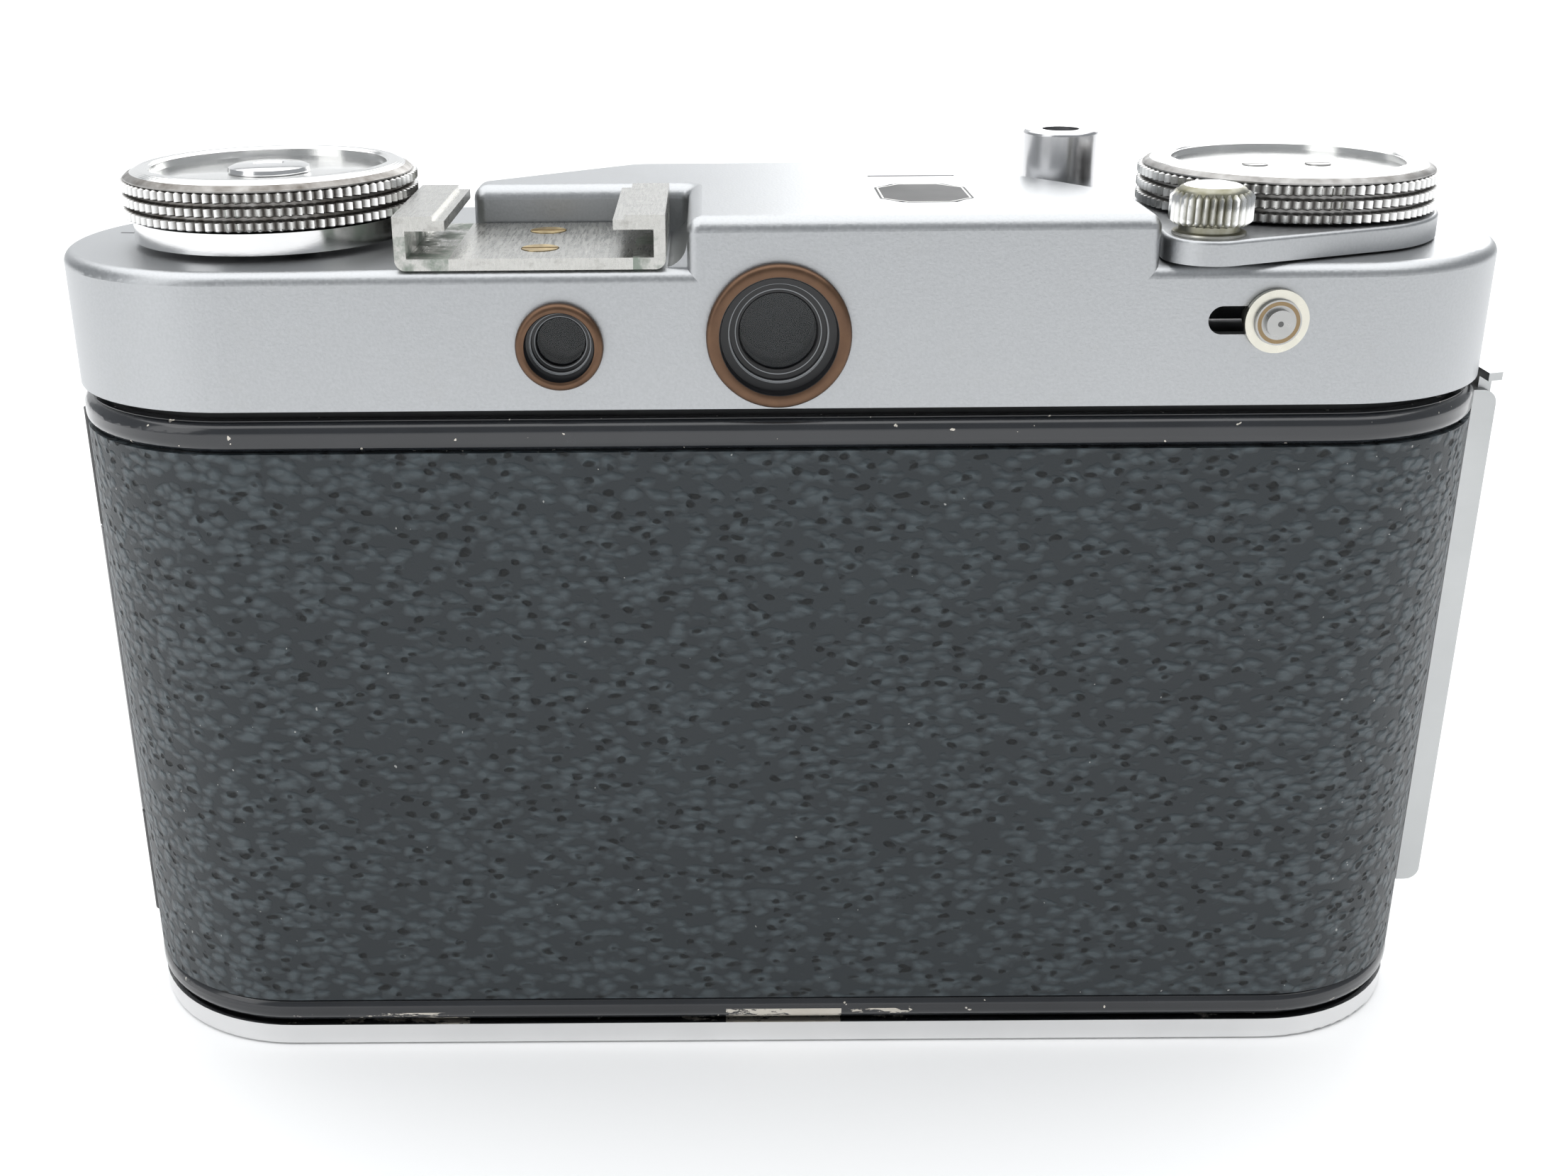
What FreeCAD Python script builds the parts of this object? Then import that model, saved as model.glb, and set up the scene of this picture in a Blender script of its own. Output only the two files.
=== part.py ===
import FreeCAD, Part
import math
import os

os.makedirs("parts", exist_ok=True)

# Compact 35 mm rangefinder camera with a rigid lens in a leaf shutter.
# Frame: origin at the tripod socket on the underside, +X to the user's right,
# +Y towards the subject, +Z up.  The back door faces -Y.  Millimetres.

# ---- driving dimensions -------------------------------------------------------
body_length = 118.5        # over the full-round ends
body_depth = 31.0          # over the top cover
base_thickness = 2.2
cover_bottom = 59.5        # lower edge of the top cover
cover_height = 10.9        # from its lower edge to the flat deck at both ends
hump_rise = 3.9            # raised middle of the cover above the deck
cover_wall = 1.0
edge_radius = 1.0
door_wall = 1.0
leather_thickness = 0.6
film_width = 35.0
gate_width = 36.0
gate_height = 24.0
cassette_radius = 12.5
knob_radius = 12.1
dial_radius = 12.0
knurl_teeth = 90
core_radius = 19.0         # tube that carries the lens rings
core_wall = 1.0
lever_thickness = 1.9
shoe_inner_width = 18.8
shoe_gap = 12.7
button_rise = 7.3          # release button above the deck
tripod_radius = 2.55       # 1/4 inch thread, minor radius
bush_radius = 5.4

# ---- clearances ---------------------------------------------------------------
door_gap = 0.3             # between the door and everything it swings past
rim_gap = 0.2              # body rim below the cover
run_fit = 0.05             # shaft in its hole, on the radius
face_gap = 0.2             # between faces that turn past each other
ring_fit = 0.08            # lens rings on their tube
slide_fit = 0.15           # latch bar over the door, button in the deck

# ---- places worked out from the sizes -----------------------------------------
half_depth = body_depth / 2
end_x = body_length / 2 - half_depth            # centre of each round end
inset = end_x - 1.65
knob_x = -inset                                 # rewind knob and film cassette
dial_x = inset                                  # counter dial and take-up spool
deck_top = cover_bottom + cover_height
hump_top = deck_top + hump_rise
base_radius = half_depth - 0.15
leather_radius = half_depth - 0.1
metal_radius = leather_radius - leather_thickness
door_inner = metal_radius - door_wall
flange_radius = door_inner - door_gap
bead_radius = leather_radius + 0.05
rim_bottom = base_thickness + rim_gap
leather_bottom = rim_bottom + 2.5
leather_top = cover_bottom - 3.5
bead_top = cover_bottom - 0.9
body_top = cover_bottom - rim_gap
floor_top = rim_bottom + 1.8
tripod_depth = floor_top - 0.2                  # the bore ends inside the floor's thickness
bush_top = floor_top + 1.8
ceiling_bottom = body_top - 2.3
lens_z = (floor_top + ceiling_bottom) / 2 + 0.1
split_gap = door_gap / 2                        # door and body each stop this far from Y = 0
chamber_radius = min(cassette_radius + 0.7, half_depth - 2.3)
block_half = inset - chamber_radius - 1.4
film_y = -(door_inner - 2.6)                    # film plane
block_back = film_y + 0.6
sprocket_radius = 5.8
sprocket_x = block_half - 0.2
sprocket_y = film_y + sprocket_radius + 0.2
spool_flange = math.hypot(dial_x - sprocket_x, sprocket_y) - sprocket_radius - 1.1
shoe_outer = shoe_inner_width + 1.8
shoe_x = knob_x + knob_radius + 0.4 + shoe_outer / 2
shoe_length = 15.8
shoe_back = -half_depth + 0.3
notch_y = shoe_back + shoe_length + 0.3
finder_x = -0.4
finder_z = cover_bottom + 5.8
range_x = -17.3
range_z = finder_z - 0.7
mirror_x = 19.0
button_x = dial_x - 17.2
button_y = half_depth - 7.0
button_radius = 3.2
release_x = dial_x - 4.5
release_z = cover_bottom + 6.7
release_travel = 4.0
hump_right = dial_x - dial_radius - 1.6
hump_left = shoe_x + shoe_outer / 2 + 1.6
hump_nose = knob_x + knob_radius + 4.5          # left end of the hump, in front of the shoe
hinge_x = -(body_length / 2 + 0.35)
hinge_y = 0.6
pin_radius = 0.45
knuckle_radius = 0.95
board_back = metal_radius
board_front = board_back + 2.4
flange_front = board_front + 1.0
cavity_front = flange_front + 3.4
ring_start = cavity_front + 1.0
shutter_radius = core_radius + 4.0
filter_radius = core_radius - core_wall - 0.75
speed_end = ring_start + 5.4
aperture_end = speed_end + 4.0
focus_end = aperture_end + 6.6
core_end = focus_end - 2.4
tube_radius = 15.2                              # rear tube of the shutter in the body


# ---- shape helpers --------------------------------------------------------------
def vec(x, y, z):
    return FreeCAD.Vector(x, y, z)


def block(x0, x1, y0, y1, z0, z1):
    return Part.makeBox(x1 - x0, y1 - y0, z1 - z0, vec(x0, y0, z0))


def post(radius, x, y, z0, z1):
    """Round bar along Z."""
    return Part.makeCylinder(radius, z1 - z0, vec(x, y, z0), vec(0, 0, 1))


def bar_y(radius, x, z, y0, y1):
    """Round bar along Y."""
    return Part.makeCylinder(radius, y1 - y0, vec(x, y0, z), vec(0, 1, 0))


def bar_x(radius, y, z, x0, x1):
    """Round bar along X."""
    return Part.makeCylinder(radius, x1 - x0, vec(x0, y, z), vec(1, 0, 0))


def ring_y(outer, inner, x, z, y0, y1):
    return bar_y(outer, x, z, y0, y1).cut(bar_y(inner, x, z, y0 - 1, y1 + 1))


def lens_ring(outer, inner, y0, y1):
    return ring_y(outer, inner, 0, lens_z, y0, y1)


def join(*shapes):
    whole = shapes[0]
    for shape in shapes[1:]:
        whole = whole.fuse(shape)
    return whole.removeSplitter()


def prism(wire, z0, z1):
    face = Part.Face(wire)
    face.translate(vec(0, 0, z0))
    return face.extrude(vec(0, 0, z1 - z0))


def stadium(radius, z0, z1):
    """Slab with full-round ends, all stadia share the same end centres."""
    a, b = vec(-end_x, -radius, 0), vec(end_x, -radius, 0)
    c, d = vec(end_x, radius, 0), vec(-end_x, radius, 0)
    right = Part.Arc(b, vec(end_x + radius, 0, 0), c).toShape()
    left = Part.Arc(d, vec(-end_x - radius, 0, 0), a).toShape()
    wire = Part.Wire([Part.makeLine(a, b), right, Part.makeLine(c, d), left])
    return prism(wire, z0, z1)


def rounded_outline(corners):
    """Closed wire through (x, y, radius) corners, each corner an arc."""
    edges = []
    start = None
    previous = None
    for i, (x, y, radius) in enumerate(corners):
        here = vec(x, y, 0)
        before = vec(*corners[i - 1][:2], 0)
        after = vec(*corners[(i + 1) % len(corners)][:2], 0)
        u = (before - here).normalize()
        v = (after - here).normalize()
        half = math.acos(max(-1, min(1, u.dot(v)))) / 2
        reach = radius / math.tan(half)
        p, q = here + u * reach, here + v * reach
        middle = here + (u + v).normalize() * (radius / math.sin(half) - radius)
        if previous is not None:
            edges.append(Part.makeLine(previous, p))
        else:
            start = p
        edges.append(Part.Arc(p, middle, q).toShape())
        previous = q
    edges.append(Part.makeLine(previous, start))
    return Part.Wire(edges)


def flat_edges(solid, z):
    """Edges that lie wholly in the plane at height z."""
    return [e for e in solid.Edges
            if abs(e.BoundBox.ZMin - z) < 1e-4 and abs(e.BoundBox.ZMax - z) < 1e-4]


def round_top(solid, z, radius):
    return solid.makeFillet(radius, flat_edges(solid, z))


def star(radius, depth, teeth, x, y, z0, z1):
    """Pointed teeth around a disc."""
    points = []
    for i in range(2 * teeth):
        r = radius if i % 2 == 0 else radius - depth
        a = math.pi * i / teeth
        points.append(vec(x + r * math.cos(a), y + r * math.sin(a), 0))
    return prism(Part.makePolygon(points + points[:1]), z0, z1)


def knurled_rim(radius, x, y, z0, z1):
    """Three toothed bands with two grooves between them."""
    groove = 0.22
    band = (z1 - z0 - 2 * groove) / 3
    rim = post(radius - 0.75, x, y, z0, z1)
    for i in range(3):
        low = z0 + i * (band + groove)
        rim = rim.fuse(star(radius, 0.45, knurl_teeth, x, y, low, low + band))
    return rim


def mirrored(shape):
    return shape.mirror(vec(0, 0, 0), vec(1, 0, 0))


def rear_half(z0, z1):
    return block(-body_length, body_length, -body_depth, -split_gap, z0, z1)


def front_half(z0, z1):
    return block(-body_length, body_length, split_gap, body_depth, z0, z1)


def hinge_bore(z0, z1):
    return post(knuckle_radius + door_gap, hinge_x, hinge_y, z0, z1)


# ---- fixed body -------------------------------------------------------------------
knuckle_low = leather_bottom + 11.0
knuckle_high = leather_top - 11.0
web_depth = -1.1                                # rear edge of the door's hinge web


def hinge_knuckle(z0, z1, web_y):
    """Knuckle with a short web that joins it to the wall, web_y is the web's span in Y."""
    web = block(hinge_x, hinge_x + 1.9, web_y[0], web_y[1], z0, z1)
    knuckle = post(knuckle_radius, hinge_x, hinge_y, z0, z1).fuse(web)
    return knuckle.cut(post(pin_radius + run_fit, hinge_x, hinge_y, z0 - 1, z1 + 1))


def whole_casting():
    front = stadium(metal_radius, leather_bottom, leather_top)
    front = front.fuse(stadium(bead_radius, rim_bottom, leather_bottom))
    front = front.fuse(stadium(bead_radius, leather_top, body_top))
    front = front.common(front_half(rim_bottom, body_top))
    floor = stadium(flange_radius, rim_bottom, floor_top)
    ceiling = stadium(flange_radius, ceiling_bottom, body_top)
    middle = block(-block_half, block_half, block_back, half_depth / 2, floor_top, ceiling_bottom)
    cast = join(front, floor, ceiling, middle)
    for x in (knob_x, dial_x):
        cast = cast.cut(post(chamber_radius, x, 0, floor_top, ceiling_bottom))
    cast = cast.cut(block(-gate_width / 2 - 0.4, gate_width / 2 + 0.4, block_back - 1, half_depth / 2,
                          lens_z - gate_height / 2 - 0.4, lens_z + gate_height / 2 + 0.4))
    cast = cast.cut(bar_y(tube_radius + run_fit, 0, lens_z, 6.0, body_depth))
    cast = cast.cut(post(sprocket_radius + 1.3, sprocket_x, sprocket_y, floor_top, ceiling_bottom))
    cast = cast.cut(post(1.5 + run_fit, sprocket_x, sprocket_y, rim_bottom - 1, body_top + 1))
    cast = cast.cut(post(2.0 + run_fit, dial_x, 0, rim_bottom - 1, body_top + 1))
    cast = cast.cut(post(2.0 + 2 * run_fit, knob_x, 0, ceiling_bottom - 1, body_top + 1))
    cast = cast.cut(post(bush_radius, 0, 0, rim_bottom - 1, bush_top))
    cast = cast.cut(hinge_bore(rim_bottom - 1, body_top + 1))
    for z0, z1 in ((leather_bottom + 0.3, knuckle_low), (knuckle_high, leather_top - 0.3)):
        cast = cast.fuse(hinge_knuckle(z0, z1, (split_gap, hinge_y + 0.35)))
    return cast.removeSplitter()


def floor_slab():
    return block(-body_length, body_length, -body_depth, body_depth, 0, floor_top)


def body_casting():
    return whole_casting().cut(floor_slab())


def body_floor():
    """The casting's floor, a plate of its own under the chambers."""
    return whole_casting().common(floor_slab())


def film_gate():
    half = gate_width / 2 + 2.2
    z0, z1 = lens_z - film_width / 2 - 2, lens_z + film_width / 2 + 2
    plate = block(-half, half, film_y, block_back, z0, z1)
    for offset in (gate_height / 2 + 1.2, film_width / 2 + 1.0):
        for sign in (-1, 1):
            z = lens_z + sign * offset
            plate = plate.fuse(block(-half, half, film_y - 0.3, film_y, z - 0.5, z + 0.5))
    opening = block(-gate_width / 2, gate_width / 2, film_y - 1, block_back + 1,
                    lens_z - gate_height / 2, lens_z + gate_height / 2)
    return plate.cut(opening).removeSplitter()


def base_plate():
    plate = stadium(base_radius, 0, base_thickness)
    plate = round_top(plate, 0, 0.5)
    plate = plate.cut(post(bush_radius, 0, 0, -1, base_thickness + 1))
    for x, y in screw_places():
        plate = plate.cut(Part.makeCone(1.9, 1.0, 0.9, vec(x, y, 0)))
        plate = plate.cut(post(1.0, x, y, 0, base_thickness + 1))
    return plate


def screw_places():
    return [(sx * (end_x + 3.0), sy * half_depth * 0.4) for sx in (-1, 1) for sy in (-1, 1)]


def base_screws():
    screws = []
    for x, y in screw_places():
        head = Part.makeCone(1.85, 0.95, 0.9, vec(x, y, 0.05))
        screw = head.fuse(post(0.95, x, y, 0.9, base_thickness))
        screws.append(screw.cut(block(x - 2, x + 2, y - 0.2, y + 0.2, 0, 0.45)))
    return Part.makeCompound(screws)


def tripod_bush():
    bush = post(bush_radius, 0, 0, 0, bush_top)
    return bush.cut(post(tripod_radius, 0, 0, -1, tripod_depth))


def front_leather():
    """Leather on the right front, from the lens board round to the door."""
    skin = stadium(leather_radius, leather_bottom, leather_top)
    skin = skin.cut(stadium(metal_radius, leather_bottom - 1, leather_top + 1))
    skin = skin.common(front_half(leather_bottom, leather_top))
    return skin.common(block(25.8, body_length, -1, body_depth, 0, deck_top))


def leather_front_right():
    return front_leather()


def leather_front_left():
    return mirrored(front_leather()).cut(hinge_bore(0, deck_top))


def lens_board():
    top = leather_top
    corners = [(-25.5, leather_bottom, 4), (25.5, leather_bottom, 4), (25.5, top, 4), (-25.5, top, 4)]
    board = prism(rounded_outline(corners), 0, board_front - board_back)
    board = round_top(board, board_front - board_back, 0.8)
    board.rotate(vec(0, 0, 0), vec(1, 0, 0), 90)
    board.translate(vec(0, board_front, 0))
    board = board.mirror(vec(0, (board_back + board_front) / 2, 0), vec(0, 1, 0))
    return board.cut(bar_y(tube_radius + run_fit, 0, lens_z, 0, body_depth))


def hump_outline(shrink=0.0):
    """Plan of the raised middle, in order from the rear left corner."""
    rear = -half_depth
    front = half_depth - 0.9
    outline = rounded_outline([
        (hump_left, rear, 0.9), (hump_right, rear, 0.9),
        (hump_right, -half_depth * 0.3, 8), (button_x - 0.6, button_y - button_radius - 3.6, 3),
        (button_x - 7.5, button_y + 2.0, 3), (button_x - 11.5, front, 3),
        (hump_nose + 13.0, front, 3), (hump_nose + 6.5, front - 5.0, 3),
        (hump_nose, notch_y + 3.6, 1), (hump_nose, notch_y, 1), (hump_left, notch_y, 0.6)])
    if shrink:
        return outline.makeOffset2D(-shrink)
    return outline


def top_cover():
    shell = round_top(stadium(half_depth, cover_bottom, deck_top), deck_top, edge_radius)
    hump = round_top(prism(hump_outline(), deck_top - 1.4, hump_top), hump_top, 1.15)
    cove_r = hump_rise / 2
    cove = block(hump_left - cove_r, hump_left + 0.3, -half_depth + 0.9, notch_y, deck_top - 0.2,
                 deck_top + cove_r)
    cove = cove.cut(bar_y(cove_r, hump_left - cove_r, deck_top + cove_r, -body_depth, body_depth))
    shell = shell.fuse([hump, cove.cut(shoe_clearance())])
    shell = shell.cut(stadium(half_depth - cover_wall, cover_bottom - 1, deck_top - cover_wall))
    shell = shell.cut(prism(hump_outline(cover_wall), deck_top - cover_wall - 1, hump_top - cover_wall))
    shell = shell.cut(bar_y(5.0, finder_x, finder_z, -body_depth, 0))
    shell = shell.cut(bar_y(3.0, range_x, range_z, -body_depth, 0))
    shell = shell.cut(release_slot())
    for window in window_holes(0.0):
        shell = shell.cut(window)
    shell = shell.cut(light_outline(0.0))
    shell = shell.cut(block(light_x - 3.7, light_x + 3.7, 4.7, 5.15, hump_top - 0.45, hump_top + 1))
    shell = shell.cut(post(3.6 + run_fit, knob_x, 0, deck_top - 2, deck_top + 1))
    shell = shell.cut(post(2.0, dial_x, 0, deck_top - 2, deck_top + 1))
    return shell.cut(post(button_radius + slide_fit, button_x, button_y, deck_top - 2, hump_top + 1))


def shoe_clearance():
    return block(shoe_x - shoe_outer / 2 - 0.1, shoe_x + shoe_outer / 2 + 0.1, -body_depth, notch_y,
                 deck_top, hump_top + 2)


def release_slot():
    """Slot for the rewind release, with round ends, through the rear wall."""
    left = release_x - release_travel
    slot = block(left, release_x, -body_depth, 0, release_z - 1.1, release_z + 1.1)
    for x in (left, release_x):
        slot = slot.fuse(bar_y(1.1, x, release_z, -body_depth, 0))
    return slot


light_x = 11.6
light_y = -4.4


def light_outline(shrink):
    """Hexagonal light window in the hump, long side across."""
    w, d = 3.6 - shrink, 4.7 - shrink
    corners = [(light_x - w, light_y - d * 0.55), (light_x - w * 0.6, light_y - d), (light_x + w * 0.6, light_y - d),
               (light_x + w, light_y - d * 0.55), (light_x + w, light_y + d * 0.6), (light_x + w * 0.6, light_y + d),
               (light_x - w * 0.6, light_y + d), (light_x - w, light_y + d * 0.6)]
    points = [vec(x, y, 0) for x, y in corners]
    return prism(Part.makePolygon(points + points[:1]), hump_top - 2, hump_top + 1)


def window_holes(shrink):
    """Finder window and the two rangefinder windows in the front wall."""
    w, h = 6.6 - shrink, 3.6 - shrink
    deep = (half_depth - 3, half_depth + 3)
    finder = block(finder_x - w, finder_x + w, deep[0], deep[1], finder_z - h, finder_z + h)
    left = bar_y(2.7 - shrink, range_x, range_z, *deep)
    right = bar_y(2.7 - shrink, mirror_x, range_z, *deep)
    return finder, left, right


def window_bezel():
    z0, z1 = cover_bottom + 0.9, deck_top - 0.9
    corners = [(-22.6, z0, 2.5), (mirror_x + 5.3, z0, 2.5), (mirror_x + 5.3, z1, 2.5), (-22.6, z1, 2.5)]
    plate = prism(rounded_outline(corners), 0, 0.7)
    plate.rotate(vec(0, 0, 0), vec(1, 0, 0), 90)
    plate.translate(vec(0, half_depth + 0.7, 0))
    for window in window_holes(0.5):
        plate = plate.cut(window)
    return plate


def window_glass(hole):
    return hole.common(block(-body_length, body_length, half_depth - 0.9, half_depth - 0.1, 0, hump_top))


def viewfinder_window():
    return window_glass(window_holes(0.05)[0])


def rangefinder_windows():
    holes = window_holes(0.05)
    return Part.makeCompound([window_glass(holes[1]), window_glass(holes[2])])


def light_window():
    """Domed pane in a chamfered hexagonal seat."""
    pane = light_outline(0.05)
    pane = pane.common(block(-body_length, body_length, -body_depth, body_depth, hump_top - 1.0, hump_top - 0.25))
    return pane


def eyepiece(x, z, flange, spigot, bore, glass):
    """Threaded eyepiece ring with a stepped bore in front of its lens seat."""
    rear = -half_depth
    body = bar_y(flange, x, z, rear - 0.8, rear)
    body = body.fuse(bar_y(spigot, x, z, rear, rear + 3.6))
    body = body.cut(bar_y(bore, x, z, rear - 1, rear + 0.5))
    body = body.cut(bar_y((bore + glass) / 2, x, z, rear, rear + 1.2))
    body = body.cut(bar_y(glass, x, z, rear, rear + 4))
    ring = [e for e in body.Edges if abs(e.BoundBox.YMin - rear + 0.8) < 1e-4
            and abs(e.BoundBox.YMax - rear + 0.8) < 1e-4]
    return body.makeFillet(0.25, ring)


def viewfinder_eyepiece():
    return eyepiece(finder_x, finder_z, 5.6, 4.95, 4.5, 3.0)


def rangefinder_eyepiece():
    return eyepiece(range_x, range_z, 3.4, 2.95, 2.65, 1.9)


def viewfinder_eye_lens():
    return bar_y(2.98, finder_x, finder_z, -half_depth + 1.7, -half_depth + 3.2)


def rangefinder_eye_lens():
    return bar_y(1.88, range_x, range_z, -half_depth + 1.7, -half_depth + 2.9)


def turned_pane(x, y, width, thickness, height):
    pane = block(-width / 2, width / 2, -thickness / 2, thickness / 2, range_z - height / 2, range_z + height / 2)
    pane.rotate(vec(0, 0, 0), vec(0, 0, 1), 45)
    pane.translate(vec(x, y, 0))
    return pane


def beam_splitter():
    return turned_pane(range_x, 4.0, 7.0, 0.8, 6.0)


def rangefinder_mirror():
    mirror = turned_pane(mirror_x, 4.0, 6.5, 0.8, 5.5)
    return mirror.fuse(post(0.9, mirror_x, 4.0, body_top + face_gap, range_z + 3.6))


def accessory_shoe():
    half = shoe_outer / 2
    inner = shoe_inner_width / 2
    floor = deck_top + 0.9
    under = floor + 2.1
    top = under + 1.1
    section = block(shoe_x - half, shoe_x + half, shoe_back, shoe_back + shoe_length, deck_top, top)
    low = [e for e in section.Edges if e.BoundBox.ZMax < deck_top + 0.01 and e.BoundBox.YLength > 1]
    section = section.makeFillet(0.8, low)
    section = section.cut(block(shoe_x - inner, shoe_x + inner, -body_depth, body_depth, floor, under))
    gap = shoe_gap / 2
    section = section.cut(block(shoe_x - gap, shoe_x + gap, -body_depth, body_depth, floor, top + 1))
    step = gap + 0.9
    section = section.cut(block(shoe_x - step, shoe_x + step, -body_depth, body_depth, top - 0.35, top + 1))
    for x, y in shoe_screw_places():
        section = section.cut(post(1.5, x, y, deck_top - 1, floor + 1))
    return section


def shoe_screw_places():
    return [(shoe_x + 0.4, shoe_back + 4.2), (shoe_x + 0.4, shoe_back + 12.0)]


def shoe_screws():
    screws = []
    for x, y in shoe_screw_places():
        screw = post(1.45, x, y, deck_top, deck_top + 0.95)
        screws.append(screw.cut(block(x - 2, x + 2, y - 0.18, y + 0.18, deck_top + 0.6, deck_top + 2)))
    return Part.makeCompound(screws)


def hinge_pin():
    return post(pin_radius, hinge_x, hinge_y, leather_bottom + 0.1, leather_top - 0.1)


def dial_spindle():
    """Fixed pillar that the lever and the counter dial turn on."""
    pillar = post(1.98, dial_x, 0, body_top + face_gap, deck_top + 4.4)
    return pillar.fuse(post(3.5, dial_x, 0, deck_top - 1.9, deck_top - cover_wall))


# ---- winding side -------------------------------------------------------------------
lever_bottom = deck_top + face_gap
lever_top = lever_bottom + lever_thickness
tip_radius = 3.4
tip_reach = dial_radius + tip_radius + 1.3      # keeps the lever's knob clear of the dial
tip_turn = math.radians(-125.5)
tip_x = dial_x + tip_reach * math.cos(tip_turn)
tip_y = tip_reach * math.sin(tip_turn)


def advance_lever():
    """Teardrop plate: the outline is the two circles and their outer tangents."""
    hub = dial_radius + 0.2
    spread = math.acos((hub - tip_radius) / tip_reach)
    points = []
    for side, (cx, cy, r) in ((1, (dial_x, 0, hub)), (1, (tip_x, tip_y, tip_radius)),
                              (-1, (tip_x, tip_y, tip_radius)), (-1, (dial_x, 0, hub))):
        a = tip_turn + side * spread
        points.append(vec(cx + r * math.cos(a), cy + r * math.sin(a), 0))
    plate = prism(Part.makePolygon(points + points[:1]), lever_bottom, lever_top)
    plate = plate.fuse(post(hub, dial_x, 0, lever_bottom, lever_top))
    plate = plate.fuse(post(tip_radius, tip_x, tip_y, lever_bottom, lever_top)).removeSplitter()
    plate = round_top(plate, lever_top, 0.3)
    return plate.cut(post(2.0 + run_fit, dial_x, 0, lever_bottom - 1, lever_top + 1))


def lever_knob():
    low = lever_top + 0.8
    knob = post(2.4, tip_x, tip_y, lever_top, low)
    teeth = star(3.15, 0.35, 30, tip_x, tip_y, low, low + 3.1)
    crown = Part.makeCone(3.4, 2.5, 0.9, vec(tip_x, tip_y, low + 2.2)).fuse(post(3.4, tip_x, tip_y, low, low + 2.2))
    return knob.fuse(teeth.common(crown))


dial_bottom = lever_top + face_gap
dial_top = dial_bottom + 3.6


def counter_dial():
    dial = knurled_rim(dial_radius, dial_x, 0, dial_bottom, dial_top - 0.7)
    dial = dial.fuse(Part.makeCone(dial_radius - 0.5, dial_radius - 1.3, 0.7, vec(dial_x, 0, dial_top - 0.7)))
    dial = dial.cut(post(dial_radius - 2.7, dial_x, 0, dial_top - 1.5, dial_top + 1))
    return dial.cut(post(1.98 + run_fit, dial_x, 0, dial_bottom - 1, dial_top))


plate_low = dial_top - 1.5 + face_gap


def dial_plate():
    plate = post(dial_radius - 3.0, dial_x, 0, plate_low, plate_low + 0.6)
    for x in (dial_x - 2.6, dial_x + 2.6):
        plate = plate.cut(post(1.1, x, 0, plate_low + 0.25, plate_low + 1))
    return plate


def dial_screws():
    screws = []
    for x in (dial_x - 2.6, dial_x + 2.6):
        screw = post(1.05, x, 0, plate_low + 0.25, plate_low + 0.8)
        screws.append(screw.cut(block(x - 2, x + 2, -0.16, 0.16, plate_low + 0.55, plate_low + 2)))
    return Part.makeCompound(screws)


def sprocket_shaft():
    shaft = post(1.5, sprocket_x, sprocket_y, rim_bottom + 0.2, body_top - 0.2)
    low, high = floor_top + face_gap, ceiling_bottom - face_gap
    shaft = shaft.fuse(post(4.2, sprocket_x, sprocket_y, low, high))
    for z in (lens_z - film_width / 2 + 2.0, lens_z + film_width / 2 - 2.0):
        shaft = shaft.fuse(post(sprocket_radius - 0.4, sprocket_x, sprocket_y, z - 1.5, z + 1.5))
        for i in range(8):
            tooth = block(0, sprocket_radius + 0.6, -0.8, 0.8, z - 0.6, z + 0.6)
            tooth.rotate(vec(0, 0, 0), vec(0, 0, 1), 22.5 + 45 * i)
            tooth.translate(vec(sprocket_x, sprocket_y, 0))
            shaft = shaft.fuse(tooth)
    return shaft.removeSplitter()


def take_up_spool():
    low, high = floor_top + face_gap, ceiling_bottom - face_gap
    spool = post(2.0, dial_x, 0, rim_bottom + 0.2, body_top - 0.2)
    spool = spool.fuse(post(5.5, dial_x, 0, low, high))
    for z in (low, high - 1.2):
        spool = spool.fuse(post(spool_flange, dial_x, 0, z, z + 1.2))
    slot = block(dial_x - 7, dial_x + 7, -0.7, 0.7, lens_z - 10, lens_z + 10)
    return spool.cut(slot).removeSplitter()


# ---- rewind side ----------------------------------------------------------------------
sleeve_low = deck_top + 0.5
knob_low = deck_top + 2.4
knob_top = knob_low + 3.8
disc_seat = knob_top - 1.5


def rewind_sleeve():
    sleeve = post(3.6, knob_x, 0, body_top + 0.5, sleeve_low)
    sleeve = sleeve.fuse(post(knob_radius - 0.8, knob_x, 0, sleeve_low, knob_low - face_gap))
    return sleeve.cut(post(2.0 + run_fit, knob_x, 0, body_top, knob_low))


def rewind_knob():
    knob = knurled_rim(knob_radius, knob_x, 0, knob_low, knob_top - 0.8)
    knob = knob.fuse(Part.makeCone(knob_radius - 0.4, knob_radius - 1.5, 0.8, vec(knob_x, 0, knob_top - 0.8)))
    knob = knob.cut(post(knob_radius - 2.5, knob_x, 0, disc_seat, knob_top + 1))
    return knob.cut(post(2.0, knob_x, 0, knob_low - 1, knob_low + 1.2))


def rewind_shaft():
    low = ceiling_bottom - 5.5
    shaft = post(2.0, knob_x, 0, low, knob_low + 1.2)
    return shaft.cut(block(knob_x - 0.5, knob_x + 0.5, -3, 3, low - 1, low + 4.5))


def reminder_disc():
    disc = post(knob_radius - 2.8, knob_x, 0, disc_seat + face_gap, disc_seat + face_gap + 0.5)
    return disc.cut(post(1.0 + run_fit, knob_x, 0, disc_seat - 1, knob_top))


def reminder_screw():
    low = disc_seat + 2 * face_gap + 0.5
    return post(1.0, knob_x, 0, disc_seat, low).fuse(round_top(post(3.4, knob_x, 0, low, low + 0.6), low + 0.6, 0.25))


# ---- release button and rewind release ---------------------------------------------------
def shutter_button():
    top = deck_top + button_rise
    button = round_top(post(button_radius, button_x, button_y, deck_top - 6.2, top), top, 0.35)
    button = button.fuse(post(button_radius + 0.7, button_x, button_y, deck_top - 2.6, deck_top - 1.3))
    return button.cut(post(1.6, button_x, button_y, top - 4.0, top + 1))


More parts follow.
